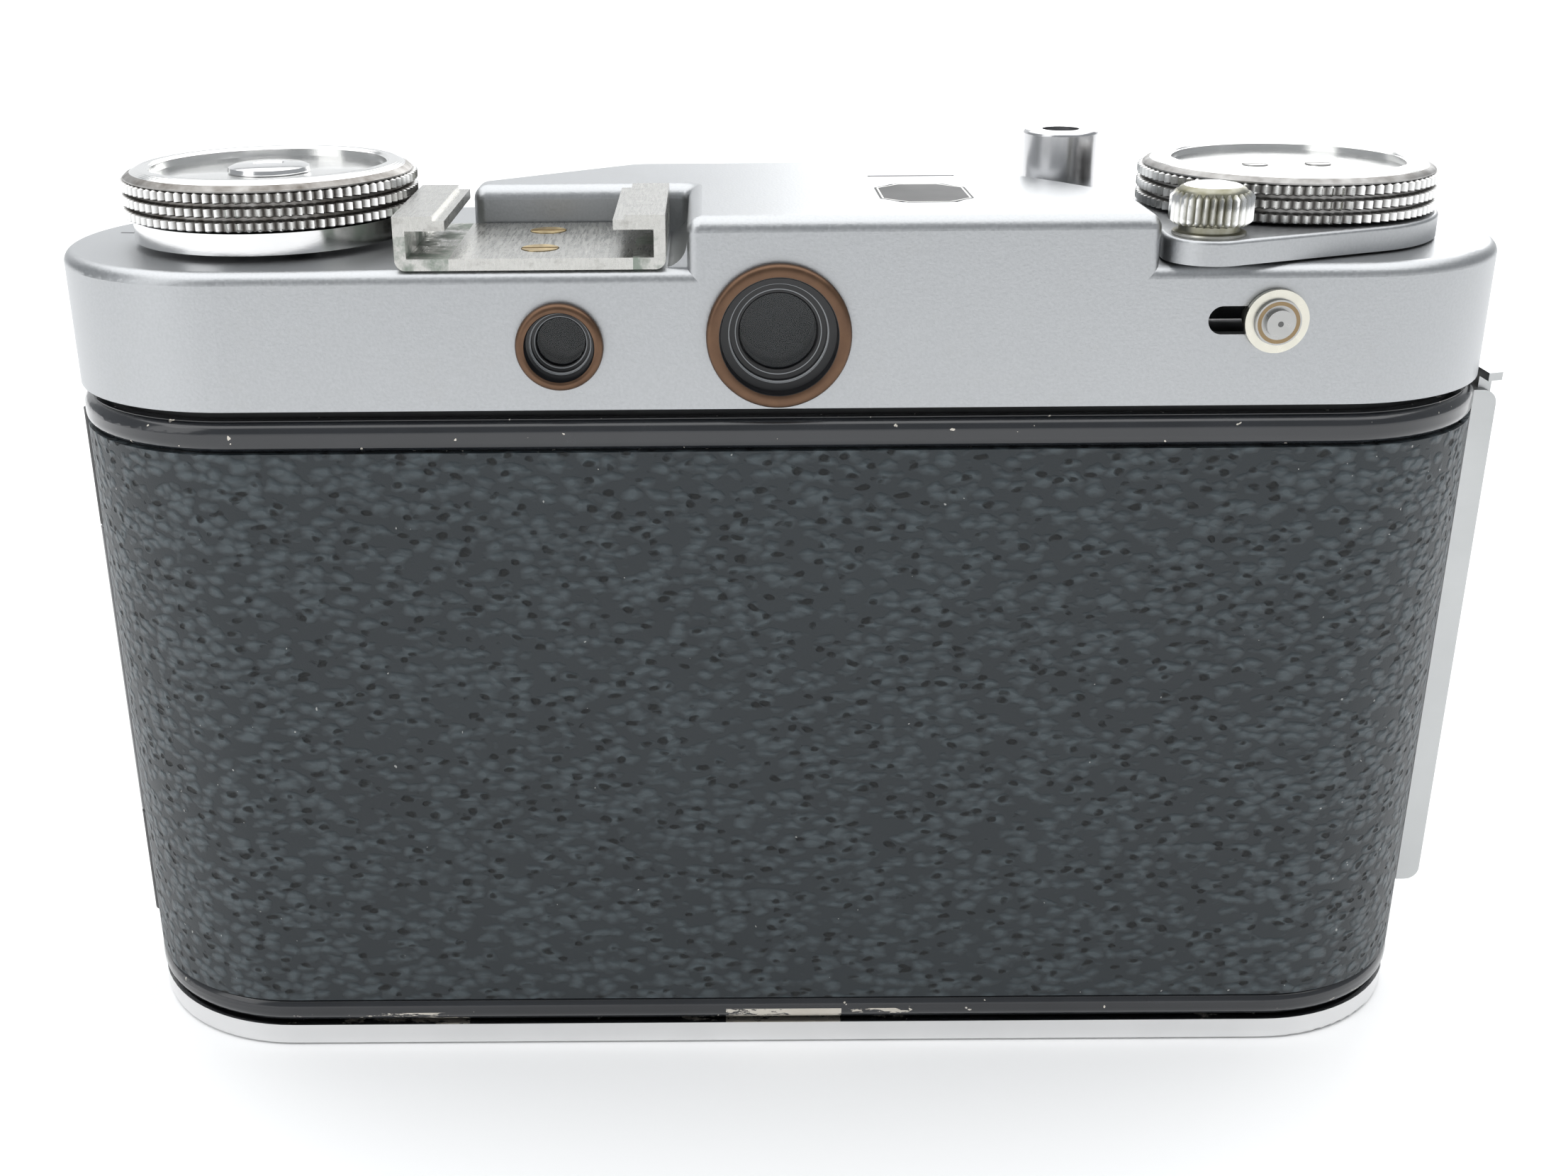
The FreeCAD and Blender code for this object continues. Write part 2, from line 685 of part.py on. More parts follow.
def rewind_release_button():
    """Stud, stepped ring and washer outside the wall, guide plate inside it."""
    rear = -half_depth
    part = bar_y(1.0, release_x, release_z, rear - 1.2, rear + cover_wall + 1.0)
    part = part.fuse(bar_y(2.45, release_x, release_z, rear - 0.6, rear - 0.1))
    part = part.fuse(bar_y(1.75, release_x, release_z, rear - 1.0, rear - 0.6))
    part = part.fuse(bar_y(1.05, release_x, release_z, rear - 1.5, rear - 1.0))
    return part.fuse(bar_y(2.0, release_x, release_z, rear + cover_wall + 0.2, rear + cover_wall + 1.0))


# ---- back door ---------------------------------------------------------------------------
bar_bottom = leather_bottom + 5.1
bar_top = cover_bottom - 2.0
latch_travel = 3.0
bar_inner = bead_radius + slide_fit
bar_outer_x = body_length / 2 + 1.55
bar_rear, bar_front = -4.2, -0.5
lug_y = -2.3
lug_heights = (bar_bottom + 8.0, bar_top - 11.5)


def lug_slots():
    slots = []
    for z in lug_heights:
        slots.append(block(end_x, body_length, lug_y - 1.05, lug_y + 1.05,
                           z - latch_travel - 1.1, z + 1.1))
    return Part.makeCompound(slots)


def back_door():
    shell = stadium(metal_radius, rim_bottom + 0.1, bead_top)
    for z0, z1 in ((rim_bottom + 0.1, leather_bottom), (leather_top, bead_top)):
        bead = stadium(bead_radius, z0, z1)
        shell = shell.fuse(bead.makeFillet(1.0, flat_edges(bead, z0) + flat_edges(bead, z1)))
    shell = shell.cut(stadium(door_inner, rim_bottom - 1, body_top))
    shell = shell.common(rear_half(0, deck_top)).cut(hinge_bore(0, deck_top)).cut(lug_slots())
    knuckle = hinge_knuckle(knuckle_low + door_gap, knuckle_high - door_gap, (web_depth, -split_gap))
    return shell.fuse(knuckle).removeSplitter()


def back_leather():
    skin = stadium(leather_radius, leather_bottom, leather_top)
    skin = skin.cut(stadium(metal_radius, leather_bottom - 1, leather_top + 1))
    skin = skin.common(rear_half(leather_bottom, leather_top))
    hinge_edge = block(-body_length, hinge_x + 3, web_depth - 0.1, 0, 0, deck_top)
    return skin.cut(hinge_edge).cut(lug_slots())


def pressure_plate():
    y = film_y - 0.3 - face_gap
    plate = block(-21, 21, y - 0.9, y, lens_z - film_width / 2 - 1.5, lens_z + film_width / 2 + 1.5)
    upright = [e for e in plate.Edges if e.BoundBox.YLength > 0.5]
    return plate.makeFillet(3.0, upright)


def pressure_spring():
    """Flat cross-shaped leaf on the inside of the door."""
    y = -door_inner
    leaf = block(-17, 17, y, y + 0.25, lens_z - 2.5, lens_z + 2.5)
    return leaf.fuse(block(-2.5, 2.5, y, y + 0.25, lens_z - 13, lens_z + 13)).removeSplitter()


def latch_bar():
    bar = block(end_x, bar_outer_x, bar_rear, bar_front, bar_bottom, bar_top)
    ends = [e for e in bar.Edges if e.BoundBox.YLength > 1 and e.BoundBox.XMin > end_x + 1]
    bar = bar.makeFillet(1.2, ends)
    bar = bar.cut(stadium(bar_inner, bar_bottom - 1, bar_top + 1))
    tab_z = cover_bottom - 1.0
    neck_x = end_x + bead_radius + 0.2
    neck = block(neck_x, bar_outer_x - 0.3, bar_rear + 0.8, bar_front - 0.8, bar_top - 2, tab_z + 0.4)
    tip = [(neck_x, bar_rear - 1.0), (bar_outer_x - 0.1, bar_rear - 0.6), (bar_outer_x + 1.1, bar_rear + 1.9),
           (bar_outer_x + 0.4, bar_front + 0.1), (neck_x, bar_front + 0.1)]
    points = [vec(x, y, 0) for x, y in tip]
    tab = prism(Part.makePolygon(points + points[:1]), tab_z, tab_z + 0.7)
    bar = join(bar, neck, tab)
    reach = end_x + door_inner
    for z in lug_heights:
        bar = bar.fuse(bar_x(0.9, lug_y, z, reach - 0.9, bar_outer_x - 0.6))
        bar = bar.fuse(bar_x(1.4, lug_y, z, reach - 1.2, reach - 0.6))
    return bar.removeSplitter()


# ---- lens and shutter -----------------------------------------------------------------------
shutter_cavity = shutter_radius - 1.0
light_radius = 9.4
blade_thickness = 0.15
blade_pitch = 0.35
stud_proud = 0.07                               # pivot stud, on each side of its blade


def lens_cylinder(radius, y0, y1):
    return bar_y(radius, 0, lens_z, y0, y1)


def shutter_housing():
    tube = lens_ring(tube_radius, 12.0, 6.5, board_front)
    back = lens_ring(shutter_radius, 12.0, board_front, flange_front)
    wall = lens_ring(shutter_radius, shutter_cavity, flange_front, cavity_front)
    front = lens_ring(shutter_radius, light_radius + 0.8, cavity_front, ring_start - face_gap)
    core = lens_ring(core_radius, core_radius - core_wall, cavity_front, core_end)
    return join(tube, back, wall, front, core)


def toothed_lens_ring(outer, y0, y1, teeth, depth):
    """Ring on the core tube with a knurled outside."""
    ring = star(outer, depth, teeth, 0, 0, 0, y1 - y0)
    ring.rotate(vec(0, 0, 0), vec(1, 0, 0), -90)
    ring.translate(vec(0, y0, lens_z))
    return ring.cut(lens_cylinder(core_radius + ring_fit, y0 - 1, y1 + 1))


def speed_ring():
    grip = toothed_lens_ring(shutter_radius, ring_start, ring_start + 2.2, 100, 0.4)
    scale = Part.makeCone(shutter_radius - 0.7, shutter_radius - 1.6, speed_end - ring_start - 2.4,
                          vec(0, ring_start + 2.2, lens_z), vec(0, 1, 0))
    return grip.fuse(scale.cut(lens_cylinder(core_radius + ring_fit, 0, body_depth * 2)))


def aperture_ring():
    y0 = speed_end
    smooth = lens_ring(core_radius + 2.0, core_radius + ring_fit, y0, y0 + 1.8)
    return smooth.fuse(toothed_lens_ring(core_radius + 2.4, y0 + 1.8, aperture_end - face_gap, 80, 0.45))


def focus_ring():
    y0 = aperture_end
    grip = toothed_lens_ring(core_radius + 2.6, y0, y0 + 3.6, 60, 0.5)
    return grip.fuse(lens_ring(core_radius + 1.9, core_radius + ring_fit, y0 + 3.6, focus_end))


def lens_barrel():
    """Tube that moves out with focusing, with the filter thread at its mouth."""
    slider = lens_ring(core_radius - core_wall - ring_fit, 10.4, ring_start + 3.0, core_end)
    head = lens_ring(core_radius - 0.2, 10.4, core_end, focus_end + 3.2)
    barrel = slider.fuse(head)
    barrel = barrel.cut(lens_cylinder(filter_radius, focus_end + 1.0, focus_end + 5))
    name_cone = Part.makeCone(10.6, filter_radius - 1.65, 3.0, vec(0, focus_end - 2.0, lens_z), vec(0, 1, 0))
    return barrel.cut(name_cone).removeSplitter()


def domed_glass(radius, bulge, y0, y1):
    """Glass disc with one dome towards the subject."""
    ball_radius = (radius ** 2 + bulge ** 2) / (2 * bulge)
    ball = Part.makeSphere(ball_radius, vec(0, y1 - ball_radius, lens_z))
    return lens_cylinder(radius, y0, y1).common(ball)


def front_lens():
    return domed_glass(10.35, 2.2, focus_end - 5.5, focus_end - 0.3)


def rear_lens():
    return domed_glass(11.95, 1.6, 8.0, 12.0)


def blade(inner, outer, pivot, sweep, y):
    """Crescent blade lying open: a sector between two circles, pivot pin at angle 0."""
    sector = Part.makeCylinder(outer, blade_thickness, vec(0, 0, 0), vec(0, 0, 1), sweep + 6)
    sector = sector.cut(Part.makeCylinder(inner, 1, vec(0, 0, -0.1), vec(0, 0, 1)))
    sector.rotate(vec(0, 0, 0), vec(0, 0, 1), -6)
    stud_low = -stud_proud
    stud_length = blade_thickness + 2 * stud_proud
    sector = sector.fuse(Part.makeCylinder(0.6, stud_length, vec(pivot, 0, stud_low), vec(0, 0, 1)))
    sector.rotate(vec(0, 0, 0), vec(1, 0, 0), 90)
    sector.translate(vec(0, y, 0))
    return sector


shutter_pivot = shutter_cavity - 3.5
shutter_swing = 35.0
iris_pivot = core_radius - core_wall - 3.5


def shutter_blade(index):
    """Closed at rest: the open blade turned inwards about its pivot."""
    leaf = blade(light_radius + 0.2, shutter_cavity - 0.7, shutter_pivot, 120,
                 flange_front + 0.6 + index * blade_pitch)
    leaf.rotate(vec(shutter_pivot, 0, 0), vec(0, -1, 0), shutter_swing)
    return place_blade(leaf, index * 120)


def aperture_blade(index):
    bore = core_radius - core_wall
    leaf = blade(light_radius + 0.4, bore - 0.8, iris_pivot, 104, ring_start + 0.4 + index * blade_pitch)
    return place_blade(leaf, 36 + index * 72)


def place_blade(leaf, angle):
    leaf.rotate(vec(0, 0, 0), vec(0, -1, 0), angle)
    leaf.translate(vec(0, 0, lens_z))
    return leaf


timer_x = -21.3
timer_z = lens_z - 17.0


def self_timer_lever():
    """Small lever on a pin in the lens board, pointing up when run down."""
    y0 = board_front + face_gap
    lever = bar_y(2.2, timer_x, timer_z, y0, y0 + 1.5)
    arm = block(timer_x - 1.1, timer_x + 1.1, y0, y0 + 1.5, timer_z, timer_z + 6.5)
    arm = arm.fuse(bar_y(1.1, timer_x, timer_z + 6.5, y0, y0 + 1.5))
    arm.rotate(vec(timer_x, 0, timer_z), vec(0, 1, 0), -17)
    return lever.fuse(arm).removeSplitter()


def sync_socket():
    """Flash sync nipple on the rim of the shutter, pointing down and outwards."""
    y = (flange_front + cavity_front) / 2 + 0.1
    nipple = Part.makeCylinder(1.7, 3.4, vec(shutter_radius - 0.4, 0, 0), vec(1, 0, 0))
    nipple = nipple.cut(Part.makeCylinder(1.3, 2.4, vec(shutter_radius + 0.6, 0, 0), vec(1, 0, 0)))
    nipple = nipple.fuse(Part.makeCylinder(0.5, 2.6, vec(shutter_radius + 0.2, 0, 0), vec(1, 0, 0)))
    nipple = nipple.cut(Part.makeCylinder(shutter_radius, 9, vec(0, -4, 0), vec(0, 1, 0)))
    nipple.rotate(vec(0, 0, 0), vec(0, 1, 0), 60)
    nipple.translate(vec(0, y, lens_z))
    return nipple


# ---- write every piece ------------------------------------------------------------------------
makers = [
    body_casting, body_floor, film_gate, base_plate, base_screws, tripod_bush, leather_front_left,
    leather_front_right, lens_board, top_cover, accessory_shoe, shoe_screws,
    viewfinder_eyepiece, viewfinder_eye_lens, rangefinder_eyepiece, rangefinder_eye_lens,
    window_bezel, viewfinder_window, rangefinder_windows, light_window, beam_splitter,
    hinge_pin, dial_spindle, shutter_housing, sync_socket, rear_lens, dial_plate, dial_screws,
    advance_lever, lever_knob, counter_dial, sprocket_shaft, take_up_spool,
    rewind_sleeve, rewind_knob, rewind_shaft, reminder_disc, reminder_screw,
    shutter_button, rewind_release_button, back_door, back_leather, pressure_plate,
    pressure_spring, latch_bar, focus_ring, lens_barrel, front_lens, speed_ring,
    aperture_ring, self_timer_lever, rangefinder_mirror]

for maker in makers:
    maker().exportStep("parts/" + maker.__name__ + ".step")
for number in range(3):
    shutter_blade(number).exportStep("parts/shutter_blade_%d.step" % (number + 1))
for number in range(5):
    aperture_blade(number).exportStep("parts/aperture_blade_%d.step" % (number + 1))
print("wrote", len(makers) + 8, "sub-parts")
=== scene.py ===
# %% [markdown]
# # A compact rangefinder camera, finished in Blender
# The camera was designed as a CAD model first: every part already has its size
# and its place.  This notebook loads those parts and leaves them where they
# are.  It gives each one a finish, and it models the pieces whose looks
# need more than a plain solid: knurled dials, turned eyepieces, engraved rings.

# %% Load the designed parts
import bpy
import bmesh
import math
from mathutils import Matrix, Vector


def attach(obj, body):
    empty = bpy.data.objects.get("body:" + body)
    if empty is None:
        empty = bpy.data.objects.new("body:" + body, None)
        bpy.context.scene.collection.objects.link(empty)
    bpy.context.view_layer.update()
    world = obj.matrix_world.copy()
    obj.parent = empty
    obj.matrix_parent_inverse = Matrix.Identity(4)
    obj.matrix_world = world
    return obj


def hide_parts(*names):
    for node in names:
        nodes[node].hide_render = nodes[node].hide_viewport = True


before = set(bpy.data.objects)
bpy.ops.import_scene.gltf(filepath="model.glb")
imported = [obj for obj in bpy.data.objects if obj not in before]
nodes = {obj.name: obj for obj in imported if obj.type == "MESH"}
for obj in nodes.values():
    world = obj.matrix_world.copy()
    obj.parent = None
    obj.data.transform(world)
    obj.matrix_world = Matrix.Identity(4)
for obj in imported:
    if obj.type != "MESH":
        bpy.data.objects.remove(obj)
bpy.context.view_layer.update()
MM = 0.001

# %% [markdown]
# ## The view
# The viewing camera stands behind the object, as its user does, and looks down on
# it a little.  Its place is set by a point and three angles, and the small shift
# sets the object a little off the middle of the frame.

# %% Place the viewing camera
view_place = Vector((-5.694, -148.265, 96.532)) * MM
turn_left, look_down, roll = math.radians(-0.211), math.radians(22.091), math.radians(-0.5)
right = Vector((math.cos(turn_left), -math.sin(turn_left), 0))
ahead = Vector((math.sin(turn_left) * math.cos(look_down), math.cos(turn_left) * math.cos(look_down),
                -math.sin(look_down)))
up = right.cross(ahead)
right, up = (right * math.cos(roll) + up * math.sin(roll), up * math.cos(roll) - right * math.sin(roll))
bpy.ops.object.camera_add()
viewer = bpy.context.object
viewer.name = "viewer"
viewer.matrix_world = Matrix.Translation(view_place) @ Matrix((right, up, -ahead)).transposed().to_4x4()
viewer.data.sensor_width = 36
viewer.data.lens = 40.24
viewer.data.shift_x, viewer.data.shift_y = 0.0497, 0.0134
viewer.data.clip_start = 0.005
bpy.context.scene.camera = viewer
print("camera at", [round(v, 4) for v in viewer.location])

# %% [markdown]
# ## A way to write finishes
# A finish in Blender is a small network of nodes.  Networks are easier to read
# as sums, so this class wraps one output of a node: adding, multiplying or
# comparing two of them adds the Math node that does it.  Everything else comes
# from one method that makes any node, sets it and connects it.

# %% Define the finish helpers
class Wire:
    """One output of a node that can stand in a sum."""

    def __init__(self, finish, socket):
        self.finish, self.socket = finish, socket

    def maths(self, operation, first, second=0.0):
        return self.finish.node("ShaderNodeMath", {"operation": operation}, {0: first, 1: second})

    def __add__(self, other):
        return self.maths("ADD", self, other)

    def __sub__(self, other):
        return self.maths("SUBTRACT", self, other)

    def __rsub__(self, other):
        return self.maths("SUBTRACT", other, self)

    def __mul__(self, other):
        return self.maths("MULTIPLY", self, other)

    def __truediv__(self, other):
        return self.maths("DIVIDE", self, other)

    def __gt__(self, other):
        return self.maths("GREATER_THAN", self, other)

    def __lt__(self, other):
        return self.maths("LESS_THAN", self, other)

    def __abs__(self):
        return self.maths("ABSOLUTE", self)

    __radd__, __rmul__ = __add__, __mul__


class Finish:
    """A material with one main shader, and the nodes that feed it."""

    def __init__(self, name, **constants):
        self.material = bpy.data.materials.new(name)
        self.material.use_nodes = True
        self.tree = self.material.node_tree
        self.shader = self.tree.nodes["Principled BSDF"]
        for socket, value in constants.items():
            self.shader.inputs[socket.replace("_", " ")].default_value = value
        self.coordinates = None

    def node(self, kind, settings=None, sockets=None, out=0):
        made = self.tree.nodes.new(kind)
        for key, value in (settings or {}).items():
            if key == "stops":
                self.set_stops(made.color_ramp, value)
            else:
                setattr(made, key, value)
        for key, value in (sockets or {}).items():
            if isinstance(value, Wire):
                self.tree.links.new(value.socket, made.inputs[key])
            else:
                made.inputs[key].default_value = value
        return Wire(self, made.outputs[out])

    def set_stops(self, ramp, stops):
        while len(ramp.elements) < len(stops):
            ramp.elements.new(0.5)
        for element, (position, shade) in zip(ramp.elements, stops):
            element.position = position
            element.color = shade if isinstance(shade, tuple) else (shade, shade, shade, 1)

    def place(self, stretch=(1, 1, 1)):
        """Object coordinates in metres, stretched along the axes."""
        if self.coordinates is None:
            self.coordinates = self.node("ShaderNodeTexCoord", out=3)
        return self.node("ShaderNodeMapping", {}, {"Vector": self.coordinates, "Scale": stretch})

    def axis(self, name):
        """One coordinate of the surface point, in millimetres."""
        parts = self.node("ShaderNodeSeparateXYZ", {}, {0: self.place()}, out="XYZ".index(name))
        return parts * (1 / MM)

    def noise(self, size, detail=3.0, stretch=(1, 1, 1), rough=0.5):
        """Soft noise whose blobs are about size millimetres across."""
        return self.node("ShaderNodeTexNoise", {}, {
            "Vector": self.place(stretch), "Scale": 1 / (size * MM), "Detail": detail, "Roughness": rough})

    def ramp(self, wire, *stops):
        return self.node("ShaderNodeValToRGB", {"stops": stops}, {0: wire})

    def mix(self, factor, first, second):
        """Colour between first and second."""
        return self.node("ShaderNodeMix", {"data_type": "RGBA"}, {0: factor, 6: first, 7: second}, out=2)

    def feed(self, socket, wire):
        self.tree.links.new(wire.socket, self.shader.inputs[socket])

    def bump(self, height, depth, after=None):
        """Relief of the given depth in millimetres."""
        sockets = {"Height": height, "Distance": depth * MM, "Strength": 1.0}
        if after:
            sockets["Normal"] = after
        wire = self.node("ShaderNodeBump", {}, sockets)
        self.feed("Normal", wire)
        return wire


def rgb(red, green, blue):
    return (red, green, blue, 1.0)


finishes = {}
print("finish helpers ready")

# %% [markdown]
# ## Chrome, satin and bright
# The covers are brass sheet, blasted with glass beads before chrome plating, so
# the surface glitters in fine grains.  Dials and rails were turned or milled
# and plated bright.  Both are full metals: the blasted one gets a rough value
# that changes from grain to grain, the bright one a low and nearly even one.

# %% Mix the chrome finishes
def blasted_chrome(name, shade, rough, grain=0.22):
    finish = Finish(name, Metallic=1.0, Roughness=rough)
    grains = finish.noise(grain, 2.0)
    clouds = finish.noise(18.0, 3.0)
    dirt = finish.ramp(finish.noise(5.0, 6.0, rough=0.7), (0.55, 0.0), (0.75, 1.0))
    lit = tuple(min(1.0, c * 1.12) for c in shade)
    tone = finish.mix(grains, rgb(*[c * 0.86 for c in shade]), rgb(*lit))
    finish.feed("Base Color", finish.mix(dirt * 0.12, tone, rgb(0.42, 0.41, 0.38)))
    finish.feed("Roughness", grains * 0.18 + clouds * 0.08 + (rough - 0.13))
    finish.bump(grains, 0.012)
    finishes[name] = finish.material
    return finish


def bright_chrome(name, shade, rough, lines=(1, 1, 1), line_size=0.5, scratch=0.002):
    finish = Finish(name, Metallic=1.0, Roughness=rough)
    streaks = finish.noise(line_size, 3.0, stretch=lines)
    film = finish.noise(7.0, 4.0)
    finish.feed("Base Color", finish.mix(film, rgb(*shade), rgb(*[c * 0.86 for c in shade])))
    finish.feed("Roughness", streaks * 0.10 + film * 0.06 + (rough - 0.08))
    finish.bump(streaks, scratch)
    finishes[name] = finish.material
    return finish


blasted_chrome("cover_chrome", (0.44, 0.45, 0.46), 0.40)
blasted_chrome("lens_chrome", (0.66, 0.67, 0.68), 0.34, grain=0.15)
bright_chrome("dial_chrome", (0.80, 0.80, 0.80), 0.16, lines=(1, 1, 6))
bright_chrome("latch_steel", (0.50, 0.51, 0.51), 0.34, lines=(1, 1, 8), line_size=1.2, scratch=0.004)
bright_chrome("button_chrome", (0.62, 0.62, 0.63), 0.24, lines=(1, 1, 0.2), scratch=0.001)
bright_chrome("plain_steel", (0.52, 0.51, 0.50), 0.34)
print("chromes:", list(finishes))

# %% [markdown]
# ## Black enamel with its chips
# The door is painted brass.  Where it rubs on tables the paint has gone from
# the lower rim in thin ragged strips, and pale metal shows.  A mask made of
# height, length and noise says where: inside it the paint gives way to metal.

# %% Mix the enamel
def enamel():
    finish = Finish("door_enamel", Roughness=0.2, Coat_Weight=0.35, Coat_Roughness=0.08)
    x, z = finish.axis("X"), finish.axis("Z")
    ragged = finish.noise(1.6, 6.0, stretch=(0.35, 1, 1.4), rough=0.75)
    low_band = (z > 2.4) * (z < 3.7)
    middle = (abs(x - 0.5) < 5.2) * low_band * (ragged > 0.47)
    trail = (abs(x - 1.0) < 11.5) * low_band * (ragged > 0.58)
    left = (abs(x + 34.0) < 6.0) * (z < 3.5) * (ragged > 0.53)
    ends = (abs(x) > 36.0) * (z < 3.4) * (ragged > 0.63)
    specks = (finish.noise(0.8, 2.0) > 0.735) * ((z > 56.0) + (z < 4.9) > 0.5)
    chip = finish.node("ShaderNodeMath", {"operation": "MINIMUM"},
                       {0: middle + trail + left + ends + specks, 1: 1.0})
    haze = finish.noise(6.0, 5.0)
    paint = finish.mix(haze, rgb(0.008, 0.009, 0.011), rgb(0.022, 0.024, 0.028))
    bare = finish.mix(ragged, rgb(0.78, 0.74, 0.66), rgb(0.5, 0.46, 0.4))
    finish.feed("Base Color", finish.mix(chip, paint, bare))
    finish.feed("Roughness", haze * 0.16 + 0.12 + chip * 0.25)
    finish.feed("Metallic", chip * 0.6)
    finish.bump((1.0 - chip) * 0.6 + haze * 0.1, 0.05)
    finishes["door_enamel"] = finish.material


enamel()
print("enamel mixed")

# %% [markdown]
# ## Leather with a long grain
# The covering is embossed cloth-backed leather.  Its grain is a field of small
# domes with pits between them, drawn out sideways, and it shines a little
# on the domes.  A cell pattern gives the pits, two noises bend and break it up.
# Light is painted into the colour too: the dome tops are painted lighter as a
# highlight, the pits near black as painted shade, and on the back leather the
# domes are painted paler towards the curved ends as a painted sheen.

# %% Mix the leather
def leather(name, painted_end_sheen=True):
    finish = Finish(name, Roughness=0.5, Coat_Weight=0.0)
    finish.shader.inputs["Specular IOR Level"].default_value = 0.42
    place = finish.place((0.72, 1.0, 1.18))
    bend = finish.node("ShaderNodeTexNoise", {}, {"Vector": place, "Scale": 700.0, "Detail": 2.0}, out=1)
    wander = finish.node("ShaderNodeVectorMath", {"operation": "SUBTRACT"}, {0: bend, 1: (0.5, 0.5, 0.5)})
    pushed = finish.node("ShaderNodeVectorMath", {"operation": "SCALE"}, {0: wander, "Scale": 0.0011})
    bent = finish.node("ShaderNodeVectorMath", {"operation": "ADD"}, {0: place, 1: pushed})
    cells = finish.node("ShaderNodeTexVoronoi", {"feature": "SMOOTH_F1"}, {
        "Vector": bent, "Scale": 980.0, "Smoothness": 0.35, "Randomness": 0.9})
    pits = finish.node("ShaderNodeTexVoronoi", {"feature": "F1"}, {
        "Vector": bent, "Scale": 760.0, "Randomness": 1.0})
    pit = finish.ramp(pits, (0.14, 1.0), (0.27, 0.0))
    dome = finish.ramp(cells, (0.22, 1.0), (0.60, 0.0))
    fine = finish.noise(0.12, 3.0)
    broad = finish.noise(14.0, 3.0)
    x = finish.axis("X")
    # painted sheen: a mask that grows towards the curved ends
    ends = finish.ramp(abs(x) / 60.0, (0.62, 0.0), (0.98, 1.0))
    # painted highlight: dome tops lighter, their edges darker
    base = finish.mix(dome, rgb(0.012, 0.016, 0.019), rgb(0.052, 0.066, 0.073))
    base = finish.mix(broad * 0.35, base, rgb(0.034, 0.046, 0.052))
    # painted sheen on the domes at the curved ends of the back leather
    if painted_end_sheen:
        base = finish.mix(ends * dome * 0.45, base, rgb(0.10, 0.12, 0.13))
    # painted shade: the pits painted near black
    base = finish.mix(pit * 0.92, base, rgb(0.002, 0.003, 0.003))
    dust = finish.node("ShaderNodeMath", {"operation": "GREATER_THAN"}, {0: finish.noise(0.55, 1.0), 1: 0.79})
    finish.feed("Base Color", finish.mix(dust * 0.6, base, rgb(0.5, 0.5, 0.48)))
    finish.feed("Roughness", fine * 0.12 + pit * 0.2 + 0.40)
    relief = finish.bump(dome * 0.7 - pit * 1.0, 0.22)
    finish.bump(fine, 0.02, after=relief)
    finishes[name] = finish.material


leather("back_grain")
leather("front_grain", painted_end_sheen=False)
print("leather mixed")

# %% [markdown]
# ## Brass, glass, black parts and printing
# The eyepiece rings were blackened brass, and years of eyebrows have worn them
# brown with a golden edge.  Glass is a clear shader with a faint coating
# colour.  Inside parts are dull black.  The printed disc is white lacquer.

# %% Mix the small finishes
def worn_brass(name, brown, gold):
    finish = Finish(name, Metallic=1.0, Roughness=0.36)
    wear = finish.noise(2.2, 5.0, rough=0.65)
    worn = finish.ramp(wear, (0.40, 0.0), (0.62, 1.0))
    finish.feed("Base Color", finish.mix(worn, rgb(*brown), rgb(*gold)))
    finish.feed("Roughness", wear * 0.3 + 0.2)
    finish.bump(finish.noise(0.3, 3.0), 0.006)
    finishes[name] = finish.material


def dull_black(name, shade=0.012, rough=0.45):
    finish = Finish(name, Roughness=rough)
    dust = finish.noise(1.1, 4.0)
    dusty = shade * 2.4
    finish.feed("Base Color", finish.mix(dust, rgb(shade, shade, shade * 1.1), rgb(dusty, dusty, dusty)))
    finish.feed("Roughness", dust * 0.2 + (rough - 0.1))
    finish.bump(finish.noise(0.6, 2.0), 0.002)
    finishes[name] = finish.material


def clear_glass(name, tint, rough=0.02):
    finish = Finish(name, Roughness=rough, IOR=1.5, Alpha=0.35)
    finish.shader.inputs["Coat Weight"].default_value = 0.6
    smear = finish.noise(3.0, 4.0)
    finish.feed("Base Color", finish.mix(smear, rgb(*tint), rgb(*[c * 0.6 for c in tint])))
    finish.feed("Roughness", finish.ramp(smear, (0.45, rough), (0.75, rough + 0.12)))
    finish.feed("Alpha", smear * 0.12 + 0.28)
    finishes[name] = finish.material


def lacquer(name, shade, rough=0.28):
    finish = Finish(name, Roughness=rough)
    finish.shader.inputs["Specular IOR Level"].default_value = 0.15
    age = finish.noise(4.0, 4.0)
    finish.feed("Base Color", finish.mix(age, rgb(*shade), rgb(*[c * 0.9 for c in shade])))
    finish.feed("Roughness", age * 0.1 + rough)
    finishes[name] = finish.material


worn_brass("rivet_brass", (0.42, 0.31, 0.15), (0.66, 0.52, 0.28))
dull_black("inner_black")
dull_black("cast_black", 0.02, 0.55)
dull_black("blade_black", 0.03, 0.35)
clear_glass("eye_glass", (0.012, 0.018, 0.022))
clear_glass("lens_glass", (0.05, 0.04, 0.10))
clear_glass("window_glass", (0.25, 0.30, 0.28))
lacquer("red_print", (0.75, 0.10, 0.07), 0.4)
# black for print, and painted shade in the hump slot
lacquer("black_print_and_slot_shade", (0.01, 0.01, 0.01), 0.4)
lacquer("milk_pane", (0.88, 0.88, 0.84), 0.5)
print("finishes:", len(finishes))

# %% [markdown]
# ## Finishes that know their part
# Some parts need a finish that follows their own shape.  The knurled dials are
# bright on the tips of their teeth and darker and browner towards the valleys,
# partly grime and partly painted shade on the tooth flanks, and the turned
# rings change colour with their radius.  Both are a distance from an axis, so
# one helper works that distance out and simple comparisons do the rest.

# %% Mix the finishes that follow a radius
def distance(finish, first, second, centre):
    """Distance in millimetres from a point, in the plane of two axes."""
    u, v = finish.axis(first) - centre[0], finish.axis(second) - centre[1]
    return finish.node("ShaderNodeMath", {"operation": "SQRT"}, {0: u * u + v * v})


def between(wire, low, high):
    return (wire > low) * (wire < high)


